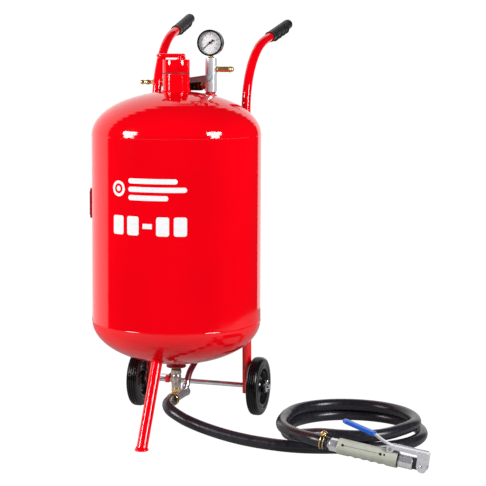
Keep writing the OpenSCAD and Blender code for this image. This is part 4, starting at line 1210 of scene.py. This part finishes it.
# ---- studio ----
WALL_BEARING = 38.5
WALL_EDGE = 0.57
FLOOR_R = 1.4


def make_floor():
    rim = [(0.15 + FLOOR_R * math.cos(2 * math.pi * k / 64),
            0.1 + FLOOR_R * math.sin(2 * math.pi * k / 64), 0) for k in range(64)]
    mesh = bpy.data.meshes.new("floor")
    mesh.from_pydata(rim, [], [list(range(64))])
    mesh.materials.append(LOOKS["floor"])
    floor = bpy.data.objects.new("floor", mesh)
    floor.visible_camera = False
    bpy.context.scene.collection.objects.link(floor)


def area_light(name, place, aim, width, height, power):
    data = bpy.data.lights.new(name, "AREA")
    data.shape = "ELLIPSE"
    data.size = width
    data.size_y = height
    data.energy = power
    light = bpy.data.objects.new(name, data)
    light.location = place
    light.rotation_euler = (Vector(aim) - Vector(place)).to_track_quat("-Z", "Y").to_euler()
    bpy.context.scene.collection.objects.link(light)


def make_world():
    """A dim room with one wide white wall behind the object, which the camera sees everywhere."""
    world = bpy.data.worlds.new("studio")
    world.use_nodes = True
    bpy.context.scene.world = world
    tree = world.node_tree
    background = tree.nodes["Background"]
    bearing = math.radians(WALL_BEARING)
    lean = tree.nodes.new("ShaderNodeVectorMath")
    lean.operation = "DOT_PRODUCT"
    lean.inputs[1].default_value = (-math.sin(bearing), math.cos(bearing), 0)
    tree.links.new(tree.nodes.new("ShaderNodeTexCoord").outputs["Generated"], lean.inputs[0])
    wall = tree.nodes.new("ShaderNodeMapRange")
    wall.interpolation_type = "SMOOTHSTEP"
    wall.inputs["From Min"].default_value = WALL_EDGE - 0.03
    wall.inputs["From Max"].default_value = WALL_EDGE + 0.03
    tree.links.new(lean.outputs["Value"], wall.inputs["Value"])
    brightest = tree.nodes.new("ShaderNodeMath")
    brightest.operation = "MAXIMUM"
    tree.links.new(wall.outputs["Result"], brightest.inputs[0])
    tree.links.new(tree.nodes.new("ShaderNodeLightPath").outputs["Is Camera Ray"],
                   brightest.inputs[1])
    strength = tree.nodes.new("ShaderNodeMapRange")
    strength.inputs["To Min"].default_value = 0.02
    strength.inputs["To Max"].default_value = 1.05
    tree.links.new(brightest.outputs["Value"], strength.inputs["Value"])
    tree.links.new(strength.outputs["Result"], background.inputs["Strength"])
    background.inputs["Color"].default_value = (1, 1, 1, 1)


make_floor()
make_world()
area_light("left_softbox", (-1.87, TANK_Y - 1.81, 1.32), (0, TANK_Y, 0.6), 1.0, 1.35,
           76)
area_light("right_softbox", (2.46, TANK_Y - 0.85, 1.4), (0.1, TANK_Y, 0.6), 1.0, 1.35,
           76)
bpy.context.scene.view_settings.view_transform = "Standard"
